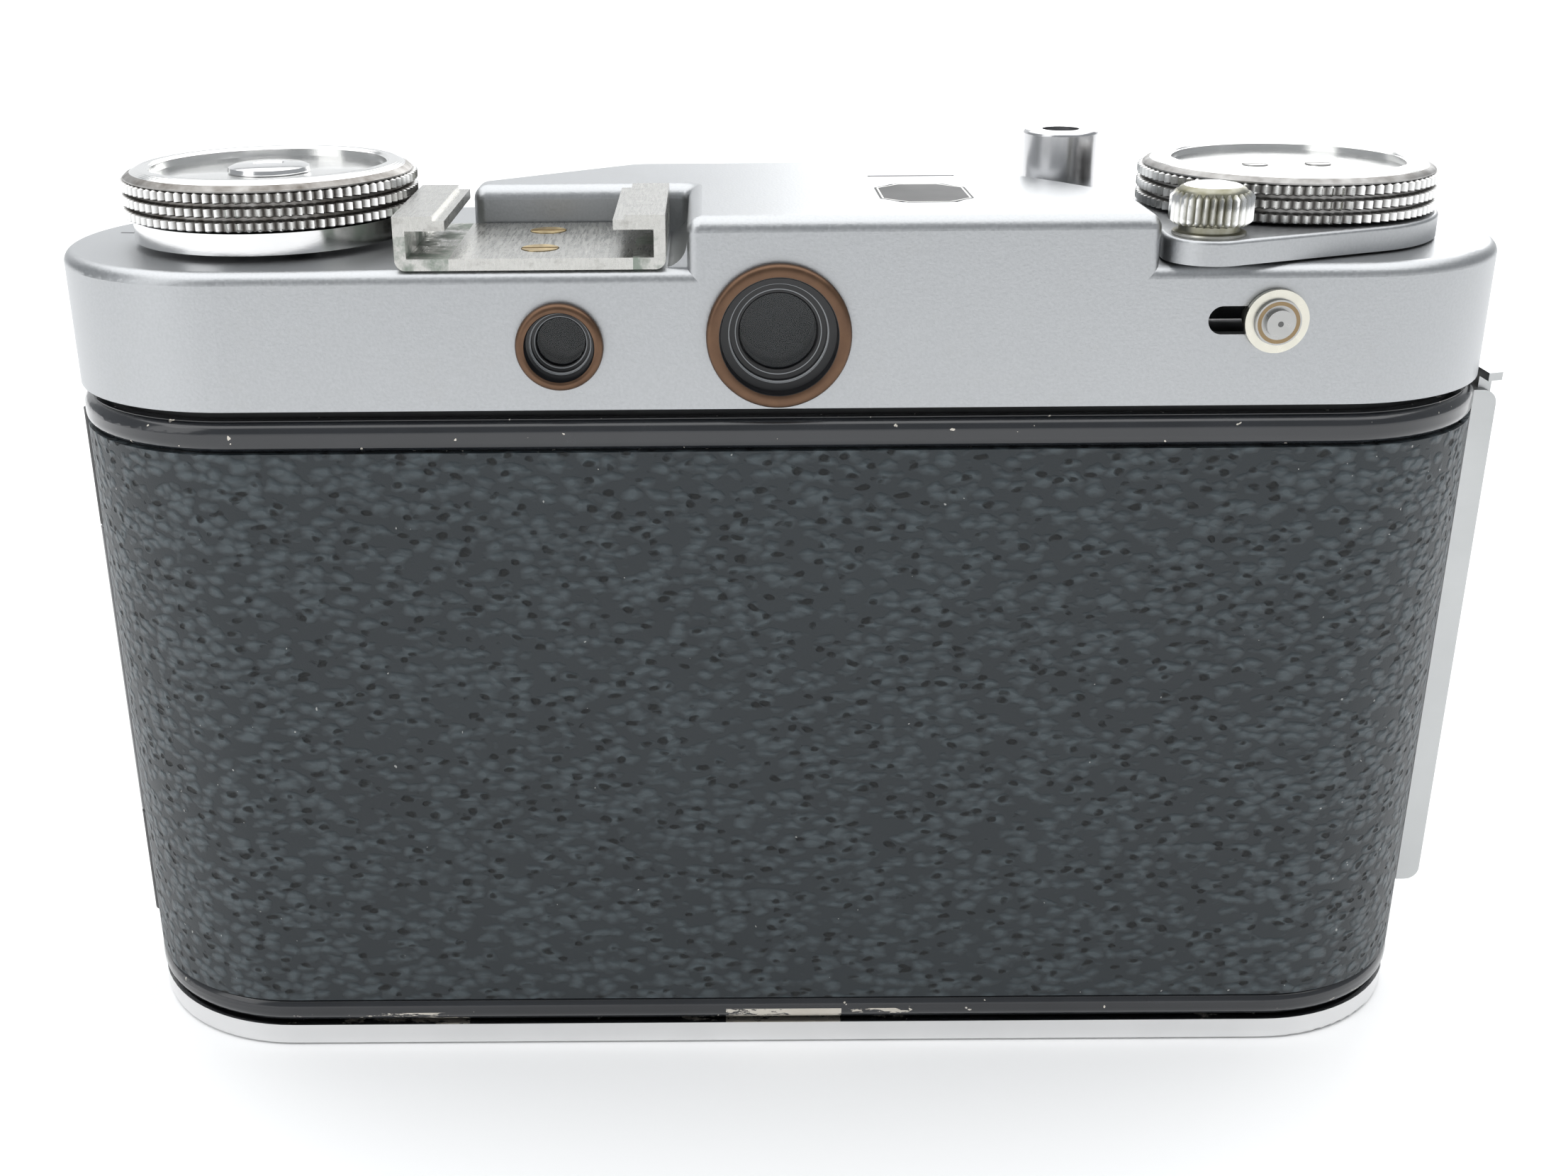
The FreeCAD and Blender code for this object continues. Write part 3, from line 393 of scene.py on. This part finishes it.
def knurled_chrome(name, centre, outer, depth, valley_grime_and_shade):
    finish = Finish(name, Metallic=1.0, Roughness=0.2)
    radius = distance(finish, "X", "Y", centre)
    stain = finish.noise(1.4, 4.0)
    turned = finish.node("ShaderNodeMath", {"operation": "SINE"}, {0: radius * 38.0})
    # painted shade with grime: darker and browner towards the tooth valleys
    valley = finish.ramp((radius - (outer - depth)) / depth, (0.0, 1.0), (0.75, 0.0))
    toothed = (radius > outer - depth - 0.5) * 1.0
    dirt = valley * toothed * (stain * 0.7 + 0.45)
    finish.feed("Base Color", finish.mix(dirt, rgb(0.78, 0.78, 0.77), rgb(*valley_grime_and_shade)))
    finish.feed("Roughness", dirt * 0.3 + stain * 0.08 + 0.12)
    finish.bump(turned * (1.0 - toothed), 0.004)
    finishes[name] = finish.material


def eyepiece_black(name, centre, edge, glint_radii):
    """Brown brass outside a radius, dull black inside it, with thin grey rings painted at the step edges as
    highlights.
    """
    finish = Finish(name, Roughness=0.35)
    radius = distance(finish, "X", "Z", centre)
    y = finish.axis("Y")
    outside = (radius > edge) * (y < -15.6)
    wear = finish.noise(1.5, 5.0, rough=0.6)
    rim = finish.ramp(radius / edge, (1.0, 0.0), (1.16, 1.0))
    brown = finish.mix(wear, rgb(0.085, 0.05, 0.035), rgb(0.17, 0.10, 0.06))
    brown = finish.mix(rim * wear * 1.3, brown, rgb(0.48, 0.32, 0.13))
    # painted highlights: thin grey rings at the step edges inside the black
    lines = between(radius, glint_radii[0], glint_radii[0] + 0.10) + between(radius, glint_radii[1], glint_radii[1] + 0.07)
    dark = finish.mix(lines * (1.0 - outside) * (y < -14.2), rgb(0.006, 0.006, 0.007), rgb(0.26, 0.27, 0.28))
    finish.feed("Base Color", finish.mix(outside, dark, brown))
    finish.feed("Metallic", outside * 0.9)
    finish.feed("Roughness", wear * 0.2 + 0.24)
    finish.bump(wear, 0.002)
    finishes[name] = finish.material


def stepped_stud(name, centre):
    finish = Finish(name, Metallic=1.0, Roughness=0.3)
    radius = distance(finish, "X", "Z", centre)
    worn = finish.noise(0.8, 4.0)
    brown = between(radius, 1.32, 1.62)
    dimple = radius < 0.22
    washer = finish.mix((radius > 1.8) * 1.0, rgb(0.42, 0.42, 0.41), rgb(0.66, 0.64, 0.56))
    tone = finish.mix(brown, washer, rgb(0.26, 0.19, 0.11))
    # painted shade: the centre dimple painted near black
    finish.feed("Base Color", finish.mix(dimple * 0.8, tone, rgb(0.05, 0.05, 0.05)))
    finish.feed("Roughness", worn * 0.2 + 0.2)
    finish.bump(worn * 0.3 - dimple * 1.0, 0.02)
    finishes[name] = finish.material


knob_axis, dial_axis, lever_axis = (-42.1, 0.0), (42.1, 0.0), (32.4, -13.6)
finder_centre, range_centre, stud_centre = (-0.4, 65.3), (-17.3, 64.6), (37.6, 66.2)
# the last tuple is the valley colour: grime with painted shade
knurled_chrome("knob_chrome", knob_axis, 12.1, 0.45, (0.10, 0.085, 0.07))
knurled_chrome("dial_knurl", dial_axis, 12.0, 0.45, (0.16, 0.15, 0.14))
knurled_chrome("lever_knurl", lever_axis, 3.15, 0.5, (0.17, 0.16, 0.09))
# last tuple: radii of the painted highlight rings
eyepiece_black("finder_ring", finder_centre, 4.62, (3.80, 3.30))
eyepiece_black("range_ring", range_centre, 2.72, (2.32, 2.0))
stepped_stud("release_stud", stud_centre)
print("finishes:", len(finishes))

# %% [markdown]
# ## Worn rail and speed disc
# The accessory shoe lost its plating where feet slid in, so it is bare grey
# steel with lines along its length and green corrosion in the left corner.
# The reminder disc is white with an olive sector and a red one at its rim.

# %% Mix the shoe and disc finishes
def worn_rail():
    finish = Finish("rail_chrome", Metallic=1.0, Roughness=0.3)
    x, y, z = finish.axis("X"), finish.axis("Y"), finish.axis("Z")
    lines = finish.noise(0.5, 3.0, stretch=(3.0, 0.25, 1.0))
    crossed = finish.noise(0.9, 4.0, stretch=(0.5, 2.0, 1.0), rough=0.7)
    blotch = finish.noise(2.6, 6.0, rough=0.7)
    low = (z < 73.0) * 1.0
    green = finish.ramp(blotch, (0.46, 0.0), (0.60, 1.0)) * low * ((x < -25.5) + (x > -11.5) > 0.5)
    steel = finish.mix(lines, rgb(0.40, 0.40, 0.38), rgb(0.66, 0.65, 0.62))
    steel = finish.mix(finish.ramp(crossed, (0.55, 0.0), (0.7, 1.0)) * 0.5, steel, rgb(0.30, 0.29, 0.27))
    finish.feed("Base Color", finish.mix(green * 0.65, steel, rgb(0.10, 0.16, 0.11)))
    finish.feed("Metallic", 1.0 - green * 0.7)
    finish.feed("Roughness", lines * 0.25 + green * 0.3 + 0.16)
    finish.bump(lines * 0.6 + crossed * 0.4, 0.02)
    finishes["rail_chrome"] = finish.material


def printed_disc():
    finish = Finish("disc_white", Roughness=0.3)
    radius = distance(finish, "X", "Y", knob_axis)
    x = finish.axis("X")
    edge = radius > 8.25
    olive = edge * (x < -44.0)
    red = edge * (x > -39.5)
    age = finish.noise(2.0, 4.0)
    white = finish.mix(age, rgb(0.86, 0.86, 0.83), rgb(0.72, 0.72, 0.70))
    tone = finish.mix(olive * 0.9, white, rgb(0.36, 0.30, 0.07))
    finish.feed("Base Color", finish.mix(red * 0.9, tone, rgb(0.55, 0.04, 0.03)))
    finish.feed("Roughness", age * 0.15 + 0.55)
    finish.shader.inputs["Specular IOR Level"].default_value = 0.12
    finishes["disc_white"] = finish.material


worn_rail()
printed_disc()
print("shoe and disc finishes ready")

# %% Put the finishes on the designed parts
node_finish = {
    "cover_chrome": ["top_cover", "advance_lever", "window_bezel"],
    "lens_chrome": ["lens_board", "focus_ring", "lens_barrel", "speed_ring", "aperture_ring"],
    "dial_chrome": ["rewind_sleeve", "self_timer_lever", "sync_socket", "reminder_screw", "dial_plate",
                    "base_plate"],
    "knob_chrome": ["rewind_knob"],
    "dial_knurl": ["counter_dial"],
    "lever_knurl": ["lever_knob"],
    "rail_chrome": ["accessory_shoe"],
    "latch_steel": ["latch_bar"],
    "release_stud": ["rewind_release_button"],
    "plain_steel": ["base_screws", "hinge_pin", "dial_spindle", "dial_screws", "sprocket_shaft",
                    "rewind_shaft", "pressure_spring", "tripod_bush"],
    "door_enamel": ["back_door"],
    "cast_black": ["body_casting", "body_floor", "shutter_housing"],
    "inner_black": ["film_gate", "take_up_spool", "pressure_plate"],
    "blade_black": [n for n in nodes if "blade" in n],
    "back_grain": ["back_leather"],
    "front_grain": ["leather_front_left", "leather_front_right"],
    "finder_ring": ["viewfinder_eyepiece"],
    "range_ring": ["rangefinder_eyepiece"],
    "rivet_brass": ["shoe_screws"],
    "eye_glass": ["viewfinder_eye_lens", "rangefinder_eye_lens"],
    "window_glass": ["viewfinder_window", "rangefinder_windows", "beam_splitter"],
    "lens_glass": ["rear_lens", "front_lens"],
    "disc_white": ["reminder_disc"],
    "milk_pane": ["light_window"],
    "button_chrome": ["shutter_button", "rangefinder_mirror"],
}
dressed = 0
for finish_name, part_names in node_finish.items():
    for part_name in part_names:
        nodes[part_name].material_slots[0].material = finishes[finish_name]
        dressed += 1
print("parts with a finish:", dressed, "of", len(nodes))

# %% [markdown]
# ## Turning on a lathe
# Knobs, rings and eyepieces are turned parts: their shape is a profile swept
# round an axis.  By hand one would add a circle and then extrude it and scale
# it step by step, so this helper does just that.  Each step is a radius and a
# height.  A radius of nought closes the shape at the axis.

# %% Define the lathe and its small tools
def nothing_selected():
    if bpy.context.object and bpy.context.object.mode != "OBJECT":
        bpy.ops.object.mode_set(mode="OBJECT")
    bpy.ops.object.select_all(action="DESELECT")


def only(piece):
    nothing_selected()
    piece.select_set(True)
    bpy.context.view_layer.objects.active = piece


def pick(piece, kind, wanted):
    """Select faces or vertices whose middle passes a test."""
    bpy.ops.mesh.select_mode(type="FACE" if kind == "faces" else "VERT")
    bpy.ops.mesh.select_all(action="DESELECT")
    mesh = bmesh.from_edit_mesh(piece.data)
    chosen = 0
    for item in getattr(mesh, kind):
        middle = item.calc_center_median() if kind == "faces" else item.co
        if wanted(middle, item.normal):
            item.select = True
            chosen += 1
    mesh.select_flush_mode()
    bmesh.update_edit_mesh(piece.data)
    return chosen


def settle(piece, name, body, finish_name, angle=35, bevel=0.0):
    """Finish a piece: place in its mesh, bevelled, smooth, dressed, riding."""
    nothing_selected()
    only(piece)
    bpy.ops.object.transform_apply(location=True, rotation=True, scale=True)
    if bevel:
        bpy.ops.object.modifier_add(type="BEVEL")
        edge = piece.modifiers[-1]
        edge.width, edge.segments, edge.limit_method = bevel * MM, 2, "ANGLE"
        edge.angle_limit = math.radians(30)
        bpy.ops.object.modifier_apply(modifier=edge.name)
    bpy.ops.object.shade_smooth_by_angle(angle=math.radians(angle))
    piece.name = name
    piece.data.materials.clear()
    piece.data.materials.append(finishes[finish_name])
    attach(piece, body)
    return piece


def turned(steps, centre, rounds=96, tilt=(0, 0, 0)):
    """Sweep (radius, height) steps in millimetres round an axis through centre."""
    nothing_selected()
    radius, height = steps[0]
    first = max(radius, 0.001)
    bpy.ops.mesh.primitive_circle_add(vertices=rounds, radius=first * MM, location=(0, 0, height * MM))
    piece = bpy.context.object
    bpy.ops.object.transform_apply(location=True)
    bpy.ops.object.mode_set(mode="EDIT")
    bpy.ops.mesh.select_mode(type="VERT")
    bpy.ops.mesh.select_all(action="SELECT")
    last = first
    for radius, level in steps[1:]:
        grown = max(radius, 0.001)
        bpy.ops.mesh.extrude_region_move(
            TRANSFORM_OT_translate={"value": (0, 0, (level - height) * MM)})
        bpy.ops.transform.resize(value=(grown / last, grown / last, 1), center_override=(0, 0, level * MM))
        last, height = grown, level
    bpy.ops.mesh.select_all(action="SELECT")
    bpy.ops.mesh.remove_doubles(threshold=0.004 * MM)
    bpy.ops.mesh.select_all(action="SELECT")
    bpy.ops.mesh.normals_make_consistent(inside=False)
    bpy.ops.object.mode_set(mode="OBJECT")
    piece.rotation_euler = tilt
    piece.location = Vector(centre) * MM
    return piece


def toothed(outer, depth, teeth, low, high, centre, top_cut=0.1):
    """Ring of pointed teeth, with their ends cut back at a slant."""
    nothing_selected()
    length = high - low - 2 * top_cut
    bpy.ops.mesh.primitive_cylinder_add(vertices=2 * teeth, radius=outer * MM, depth=length * MM,
                                        location=(0, 0, (high + low) / 2 * MM))
    piece = bpy.context.object
    bpy.ops.object.transform_apply(location=True)
    bpy.ops.object.mode_set(mode="EDIT")
    step = math.pi / teeth
    pick(piece, "verts", lambda at, way: round(math.atan2(at.y, at.x) / step) % 2 == 0)
    shrink = (outer - depth) / outer
    bpy.ops.transform.resize(value=(shrink, shrink, 1), center_override=(0, 0, 0))
    for way in (1, -1):
        pick(piece, "faces", lambda at, normal: normal.z * way > 0.9)
        bpy.ops.mesh.extrude_region_move(TRANSFORM_OT_translate={"value": (0, 0, way * top_cut * MM)})
        slant = (outer - depth * 0.75) / outer
        bpy.ops.transform.resize(value=(slant, slant, 1), center_override=(0, 0, 0))
    bpy.ops.object.mode_set(mode="OBJECT")
    piece.location = Vector(centre) * MM
    return piece


def joined(pieces):
    nothing_selected()
    for piece in pieces:
        piece.select_set(True)
    bpy.context.view_layer.objects.active = pieces[0]
    bpy.ops.object.transform_apply(location=True, rotation=True, scale=True)
    bpy.ops.object.join()
    return bpy.context.object


print("lathe ready")

# %% [markdown]
# ## The two big dials
# Both dials are a stack: three knurled bands with grooves between them, and a
# bright bezel with a recess on top.  The bands are one toothed ring each and
# the rest is turned in one profile, so the grooves show the core between.

# %% Turn the rewind knob and the counter dial
def big_dial(name, node, body, centre, low, outer, recess, seat, finish_name, lift):
    top = low + 3.0 - (0.1 if lift else 0.0) + 0.8
    rim = top - (0.8 if not lift else 0.7)
    rim_r = outer - 0.4
    core = turned([(2.05, low), (outer - 0.75, low), (outer - 0.75, rim), (rim_r, rim), (rim_r, rim + 0.12),
                   (rim_r - 0.25, rim + 0.34), (outer - 1.5, top - 0.03), (outer - 1.65, top),
                   (recess + 0.28, top), (recess, top - 0.22), (recess, seat + 0.45),
                   (recess - 0.25, seat + 0.4), (recess - 0.25, seat), (2.05, seat), (2.05, low)],
                  (centre[0], centre[1], 0), rounds=128)
    band = (rim - low - 0.44) / 3
    bands = [toothed(outer, 0.5, 90, low + i * (band + 0.22), low + i * (band + 0.22) + band,
                     (centre[0], centre[1], 0), top_cut=0.13) for i in range(3)]
    dial = settle(joined([core] + bands), name, body, finish_name, angle=30)
    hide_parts(node)
    return dial


knob = big_dial("rewind_knob_turned", "rewind_knob", "rewind", knob_axis, 72.8, 12.1, 9.6, 75.1,
                "knob_chrome", False)
dial = big_dial("counter_dial_turned", "counter_dial", "counter", dial_axis, 72.7, 12.0, 9.3, 74.85,
                "dial_knurl", True)
print("knob faces:", len(knob.data.polygons), "dial faces:", len(dial.data.polygons))

# %% [markdown]
# ## Inside the recesses
# The film reminder is a white disc with red numbers round it, held by a domed
# hub.  Each number is a text object turned into a mesh and laid on the disc.
# The counter's cover plate is bright metal, turned down in two rings.

# %% Lay the reminder disc, its numbers and the counter plate
def numeral(text, size, turn, place, proud=0.02):
    """Flat lettering as a mesh, turned by the matrix and set at the place."""
    nothing_selected()
    bpy.ops.object.text_add(location=(0, 0, 0))
    letters = bpy.context.object
    letters.data.body = text
    letters.data.size = size * MM
    letters.data.align_x, letters.data.align_y = "CENTER", "CENTER"
    letters.data.extrude = proud * MM
    bpy.ops.object.convert(target="MESH")
    letters = bpy.context.object
    letters.matrix_world = Matrix.Translation(Vector(place) * MM) @ turn.to_4x4()
    return letters


disc = turned([(1.06, 75.3), (9.28, 75.3), (9.28, 75.7), (9.1, 75.78), (8.3, 75.78), (8.22, 75.72),
               (4.0, 75.72), (3.9, 75.78), (1.06, 75.78), (1.06, 75.3)], (*knob_axis, 0), rounds=128)
settle(disc, "reminder_disc_turned", "reminder", "disc_white")
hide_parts("reminder_disc")
speeds = ["12", "25", "50", "100", "200", "400", "800", "6", "3"]
marks = []
for i, text in enumerate(speeds):
    angle = math.radians(-90 + 40 * (i - 1.4))
    spot = (knob_axis[0] + 6.4 * math.cos(angle), knob_axis[1] + 6.4 * math.sin(angle), 75.74)
    marks.append(numeral(text, 2.3, Matrix.Rotation(angle + math.pi / 2, 3, "Z"), spot))
print_work = settle(joined(marks), "reminder_numbers", "reminder", "red_print")
hub = turned([(0.0, 75.82), (3.35, 75.82), (3.4, 75.95), (3.3, 76.25), (2.9, 76.42), (1.3, 76.50),
              (1.2, 76.42), (0.0, 76.42)], (*knob_axis, 0), rounds=64)
settle(hub, "reminder_hub", "rewind", "dial_chrome")
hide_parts("reminder_screw")
plate = turned([(0.0, 75.0), (9.0, 75.0), (9.0, 75.28), (8.9, 75.34), (6.9, 75.34), (6.8, 75.46),
                (6.75, 75.5), (4.9, 75.5), (4.82, 75.58), (0.0, 75.6)], (*dial_axis, 0), rounds=96)
settle(plate, "counter_plate_turned", "camera_body", "dial_chrome")
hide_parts("dial_plate")
print("number faces:", len(print_work.data.polygons))

# %% [markdown]
# ## The lever's knob
# The small knob on the advance lever has thirty deep flutes with pointed tops
# under a bright domed crown, and a slim collar under it.

# %% Turn the lever knob
flutes = toothed(3.15, 0.5, 30, 73.3, 75.75, (*lever_axis, 0), top_cut=0.32)
stem = turned([(0.0, 72.5), (2.75, 72.5), (2.8, 72.6), (2.75, 72.72), (2.3, 72.8), (2.3, 73.35), (2.62, 73.4),
               (2.62, 75.72), (2.45, 75.98), (2.0, 76.22), (1.2, 76.36), (0.0, 76.4)],
              (*lever_axis, 0), rounds=60)
small_knob = settle(joined([stem, flutes]), "lever_knob_turned", "lever", "lever_knurl")
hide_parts("lever_knob")
print("lever knob box:", [round(v / MM, 1) for v in small_knob.dimensions])

# %% [markdown]
# ## Eyepieces
# Each eyepiece is a turned ring screwed into the wall.  It steps inwards in
# thin lands to the lens, and its finish paints fine grey circles on the black at
# the land edges as highlights.  The profile is turned round Z first and then
# tipped so that it faces backwards.

# %% Turn the eyepieces
rear_wall = -15.5


def eyepiece(name, node, finish_name, centre, flange, spigot, bore, glass):
    middle = (bore + glass) / 2
    profile = [(spigot, -3.4), (spigot, 0.0), (flange - 0.05, 0.0), (flange, 0.08), (flange, 0.5),
               (flange - 0.12, 0.7), (flange - 0.4, 0.8), (bore + 0.22, 0.78), (bore + 0.08, 0.72),
               (bore, 0.55), (bore, -0.42), (middle + 0.12, -0.5), (middle + 0.1, -0.8), (middle, -0.86),
               (middle - 0.02, -1.15),
               (glass + 0.1, -1.2), (glass, -1.3), (glass, -3.4), (spigot, -3.4)]
    ring = turned(profile, (centre[0], rear_wall, centre[1]), rounds=96, tilt=(math.radians(90), 0, 0))
    settle(ring, name, "camera_body", finish_name, angle=40)
    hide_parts(node)
    return ring


eyepiece("viewfinder_ring_turned", "viewfinder_eyepiece", "finder_ring", finder_centre, 5.6, 4.95, 4.5, 3.02)
eyepiece("rangefinder_ring_turned", "rangefinder_eyepiece", "range_ring", range_centre, 3.4, 2.95, 2.65,
         1.92)


def tube_blind(name, centre, radius, depth):
    """Matt black cup behind an eyepiece, so that one looks into darkness."""
    floor = -depth - 0.3
    cup = turned([(radius, -3.45), (radius, -depth), (0.0, -depth), (0.0, floor), (radius + 0.3, floor),
                  (radius + 0.3, -3.45), (radius, -3.45)], (centre[0], rear_wall, centre[1]), rounds=48,
                 tilt=(math.radians(90), 0, 0))
    return settle(cup, name, "camera_body", "inner_black")


tube_blind("finder_tube", finder_centre, 3.1, 7.0)
tube_blind("range_tube", range_centre, 2.0, 6.5)
print("eyepieces turned")

# %% [markdown]
# ## Light window, slot and deck marks
# The white frame round the milky pane is a plane with its corners cut, inset
# and sloped down to the pane.  The pointed slot is a thin black inlay whose black
# is painted shade, standing in for the dark inside of the slot.  Two engraved
# marks on the deck are thin inlays too, made the same way.

# %% Cut the light window seat and the inlays
def plate_of(size, corner, place, turn=0.0):
    """Flat plate with cut corners, size and corner in millimetres."""
    nothing_selected()
    bpy.ops.mesh.primitive_plane_add(size=1 * MM)
    piece = bpy.context.object
    piece.scale = (size[0], size[1], 1)
    bpy.ops.object.transform_apply(scale=True)
    bpy.ops.object.mode_set(mode="EDIT")
    bpy.ops.mesh.select_all(action="SELECT")
    bpy.ops.mesh.bevel(offset=corner * MM, affect="VERTICES")
    bpy.ops.object.mode_set(mode="OBJECT")
    piece.location = Vector(place) * MM
    piece.rotation_euler = (0, 0, math.radians(turn))
    return piece


def sloped_frame(piece, width, drop):
    only(piece)
    bpy.ops.object.mode_set(mode="EDIT")
    bpy.ops.mesh.select_all(action="SELECT")
    bpy.ops.mesh.inset(thickness=0.12 * MM)
    bpy.ops.mesh.inset(thickness=width * MM, depth=0)
    bpy.ops.transform.translate(value=(0, 0, -drop * MM))
    bpy.ops.mesh.delete(type="FACE")
    bpy.ops.object.mode_set(mode="OBJECT")


def inlay(name, size, corner, place, finish_name, turn=0.0, thick=0.12):
    piece = plate_of(size, corner, place, turn)
    only(piece)
    bpy.ops.object.modifier_add(type="SOLIDIFY")
    piece.modifiers[-1].thickness = thick * MM
    bpy.ops.object.modifier_apply(modifier=piece.modifiers[-1].name)
    return settle(piece, name, "camera_body", finish_name)


pane_x, pane_y, hump_skin, deck_skin = 11.6, -4.4, 74.31, 70.41
seat = plate_of((7.1, 9.3), 1.9, (pane_x, pane_y, 74.32))
sloped_frame(seat, 0.95, 0.34)
only(seat)
bpy.ops.object.modifier_add(type="SOLIDIFY")
seat.modifiers[-1].thickness = 0.25 * MM
bpy.ops.object.modifier_apply(modifier=seat.modifiers[-1].name)
settle(seat, "light_window_seat", "camera_body", "milk_pane", bevel=0.03)
inlay("light_window_joint", (7.45, 9.65), 2.0, (pane_x, pane_y, hump_skin), "black_print_and_slot_shade",
      thick=0.3)
# painted shade: a black inlay where the inside of the slot would lie in shadow
inlay("hump_slot", (7.2, 0.5), 0.24, (pane_x, 4.92, hump_skin), "black_print_and_slot_shade", thick=0.4)
inlay("deck_mark_right", (1.5, 0.28), 0.1, (52.0, 4.5, deck_skin), "black_print_and_slot_shade", turn=12)
inlay("deck_mark_left", (2.0, 0.26), 0.1, (-55.0, 2.5, deck_skin), "black_print_and_slot_shade", turn=-8)
inlay("deck_mark_head", (0.9, 0.8), 0.38, (-54.0, 2.36, deck_skin), "black_print_and_slot_shade", turn=-8)
print("window seat and marks cut")

# %% [markdown]
# ## Torn leather
# At the lower left end the leather has come loose and a small flap stands off.
# It is a subdivided plane, thickened, with its outer edge pulled out and bent.

# %% Model the torn flap
nothing_selected()
bpy.ops.mesh.primitive_plane_add(size=1 * MM)
flap = bpy.context.object
flap.scale = (1.3, 4.4, 1)
bpy.ops.object.transform_apply(scale=True)
bpy.ops.object.mode_set(mode="EDIT")
bpy.ops.mesh.select_all(action="SELECT")
bpy.ops.mesh.subdivide(number_cuts=8)
mesh = bmesh.from_edit_mesh(flap.data)
for vertex in mesh.verts:
    along, across = vertex.co.y / MM, vertex.co.x / MM + 0.65
    vertex.co.x *= 1.0 - 0.22 * abs(math.sin(along * 2.1))
    vertex.co.y += across * 0.35 * MM
    vertex.co.z += (0.28 * across ** 2 + 0.12 * math.sin(along * 1.7)) * MM
bmesh.update_edit_mesh(flap.data)
bpy.ops.object.mode_set(mode="OBJECT")
bpy.ops.object.modifier_add(type="SOLIDIFY")
flap.modifiers[-1].thickness = 0.28 * MM
bpy.ops.object.modifier_apply(modifier=flap.modifiers[-1].name)
flap.rotation_euler = (math.radians(90), 0, math.radians(180))
flap.location = Vector((-59.75, 2.6, 10.2)) * MM
settle(flap, "torn_leather_flap", "camera_body", "front_grain", angle=60)
print("flap box:", [round(v / MM, 2) for v in flap.dimensions])

# %% [markdown]
# ## Scales on the lens
# Speeds, apertures and distances are engraved round the lens rings and filled
# with black.  Each number is laid flat on its ring, and the ring is so large
# that the lettering hardly leaves the surface.

# %% Engrave the lens scales
lens_height = 30.7


def ring_scale(name, body, texts, size, radius, y, start, pitch, slope=0.0, colour="black_print_and_slot_shade"):
    letters = []
    for i, text in enumerate(texts):
        angle = math.radians(start - pitch * i)
        out = Vector((math.cos(angle), 0, math.sin(angle)))
        normal = (out * math.cos(slope) + Vector((0, 1, 0)) * math.sin(slope)).normalized()
        along = Vector((-math.sin(angle), 0, math.cos(angle))) * -1
        upward = normal.cross(along)
        turn = Matrix((along, upward, normal)).transposed()
        spot = (out.x * radius, y, lens_height + out.z * radius)
        letters.append(numeral(text, size, turn, spot))
    return settle(joined(letters), name, body, colour)


slope = math.atan2(0.9, 3.0)
ring_scale("speed_numbers", "speed", ["B", "1", "2", "5", "10", "25", "50", "100", "300"], 2.2, 21.85, 26.4,
           150, 15, slope)
ring_scale("aperture_numbers", "aperture", ["3.5", "4", "5.6", "8", "11", "16"], 1.5, 21.02, 28.9, 130, 14)
ring_scale("distance_numbers", "focus", ["3.5", "4", "5", "6", "8", "10", "15", "30", "60"], 2.0, 20.93, 37.1,
           160, 16, colour="black_print_and_slot_shade")
print("scales engraved")

# %% [markdown]
# ## Table and light
# The object stands on a flat white sheet.  One large soft light hangs above it,
# and a long low one stands far off beyond it, so that the flat tops of the
# covers have something bright to reflect.  Two small ones fill in from the left
# and the front, and the room itself is a pale grey.

# %% Build the stage
def stage_sheet():
    bpy.ops.object.select_all(action="DESELECT")
    bpy.ops.mesh.primitive_plane_add(size=6, location=(0, 0, 0))
    sheet = bpy.context.object
    sheet.name = "white_sheet"
    finish = Finish("sheet_white", Roughness=0.7)
    finish.shader.inputs["Base Color"].default_value = rgb(0.92, 0.92, 0.92)
    sheet.data.materials.append(finish.material)


def soft_light(name, place, aim, size, power):
    bpy.ops.object.light_add(type="AREA", location=place)
    lamp = bpy.context.object
    lamp.name = name
    lamp.data.shape = "RECTANGLE"
    lamp.data.size, lamp.data.size_y = size
    lamp.data.energy = power
    lamp.rotation_euler = (Vector(aim) - Vector(place)).to_track_quat("-Z", "Y").to_euler()


stage_sheet()
soft_light("ceiling_soft_box", (0.0, 0.8, 2.2), (0, 0.8, 0), (5.0, 5.0), 150)
soft_light("far_soft_wall", (0.0, 2.9, 0.75), (0, 0, 0.75), (6.0, 1.4), 14)
soft_light("left_soft_box", (-1.3, -1.0, 0.7), (0, 0, 0.05), (0.9, 1.2), 5)
soft_light("front_soft_box", (0.5, 1.4, 0.6), (0, 0, 0.04), (0.9, 0.7), 5)
world = bpy.context.scene.world or bpy.data.worlds.new("room")
bpy.context.scene.world = world
world.use_nodes = True
world.node_tree.nodes["Background"].inputs[0].default_value = rgb(0.92, 0.96, 1.0)
world.node_tree.nodes["Background"].inputs[1].default_value = 0.42
bpy.context.scene.view_settings.view_transform = "Standard"
print("stage and lights ready")
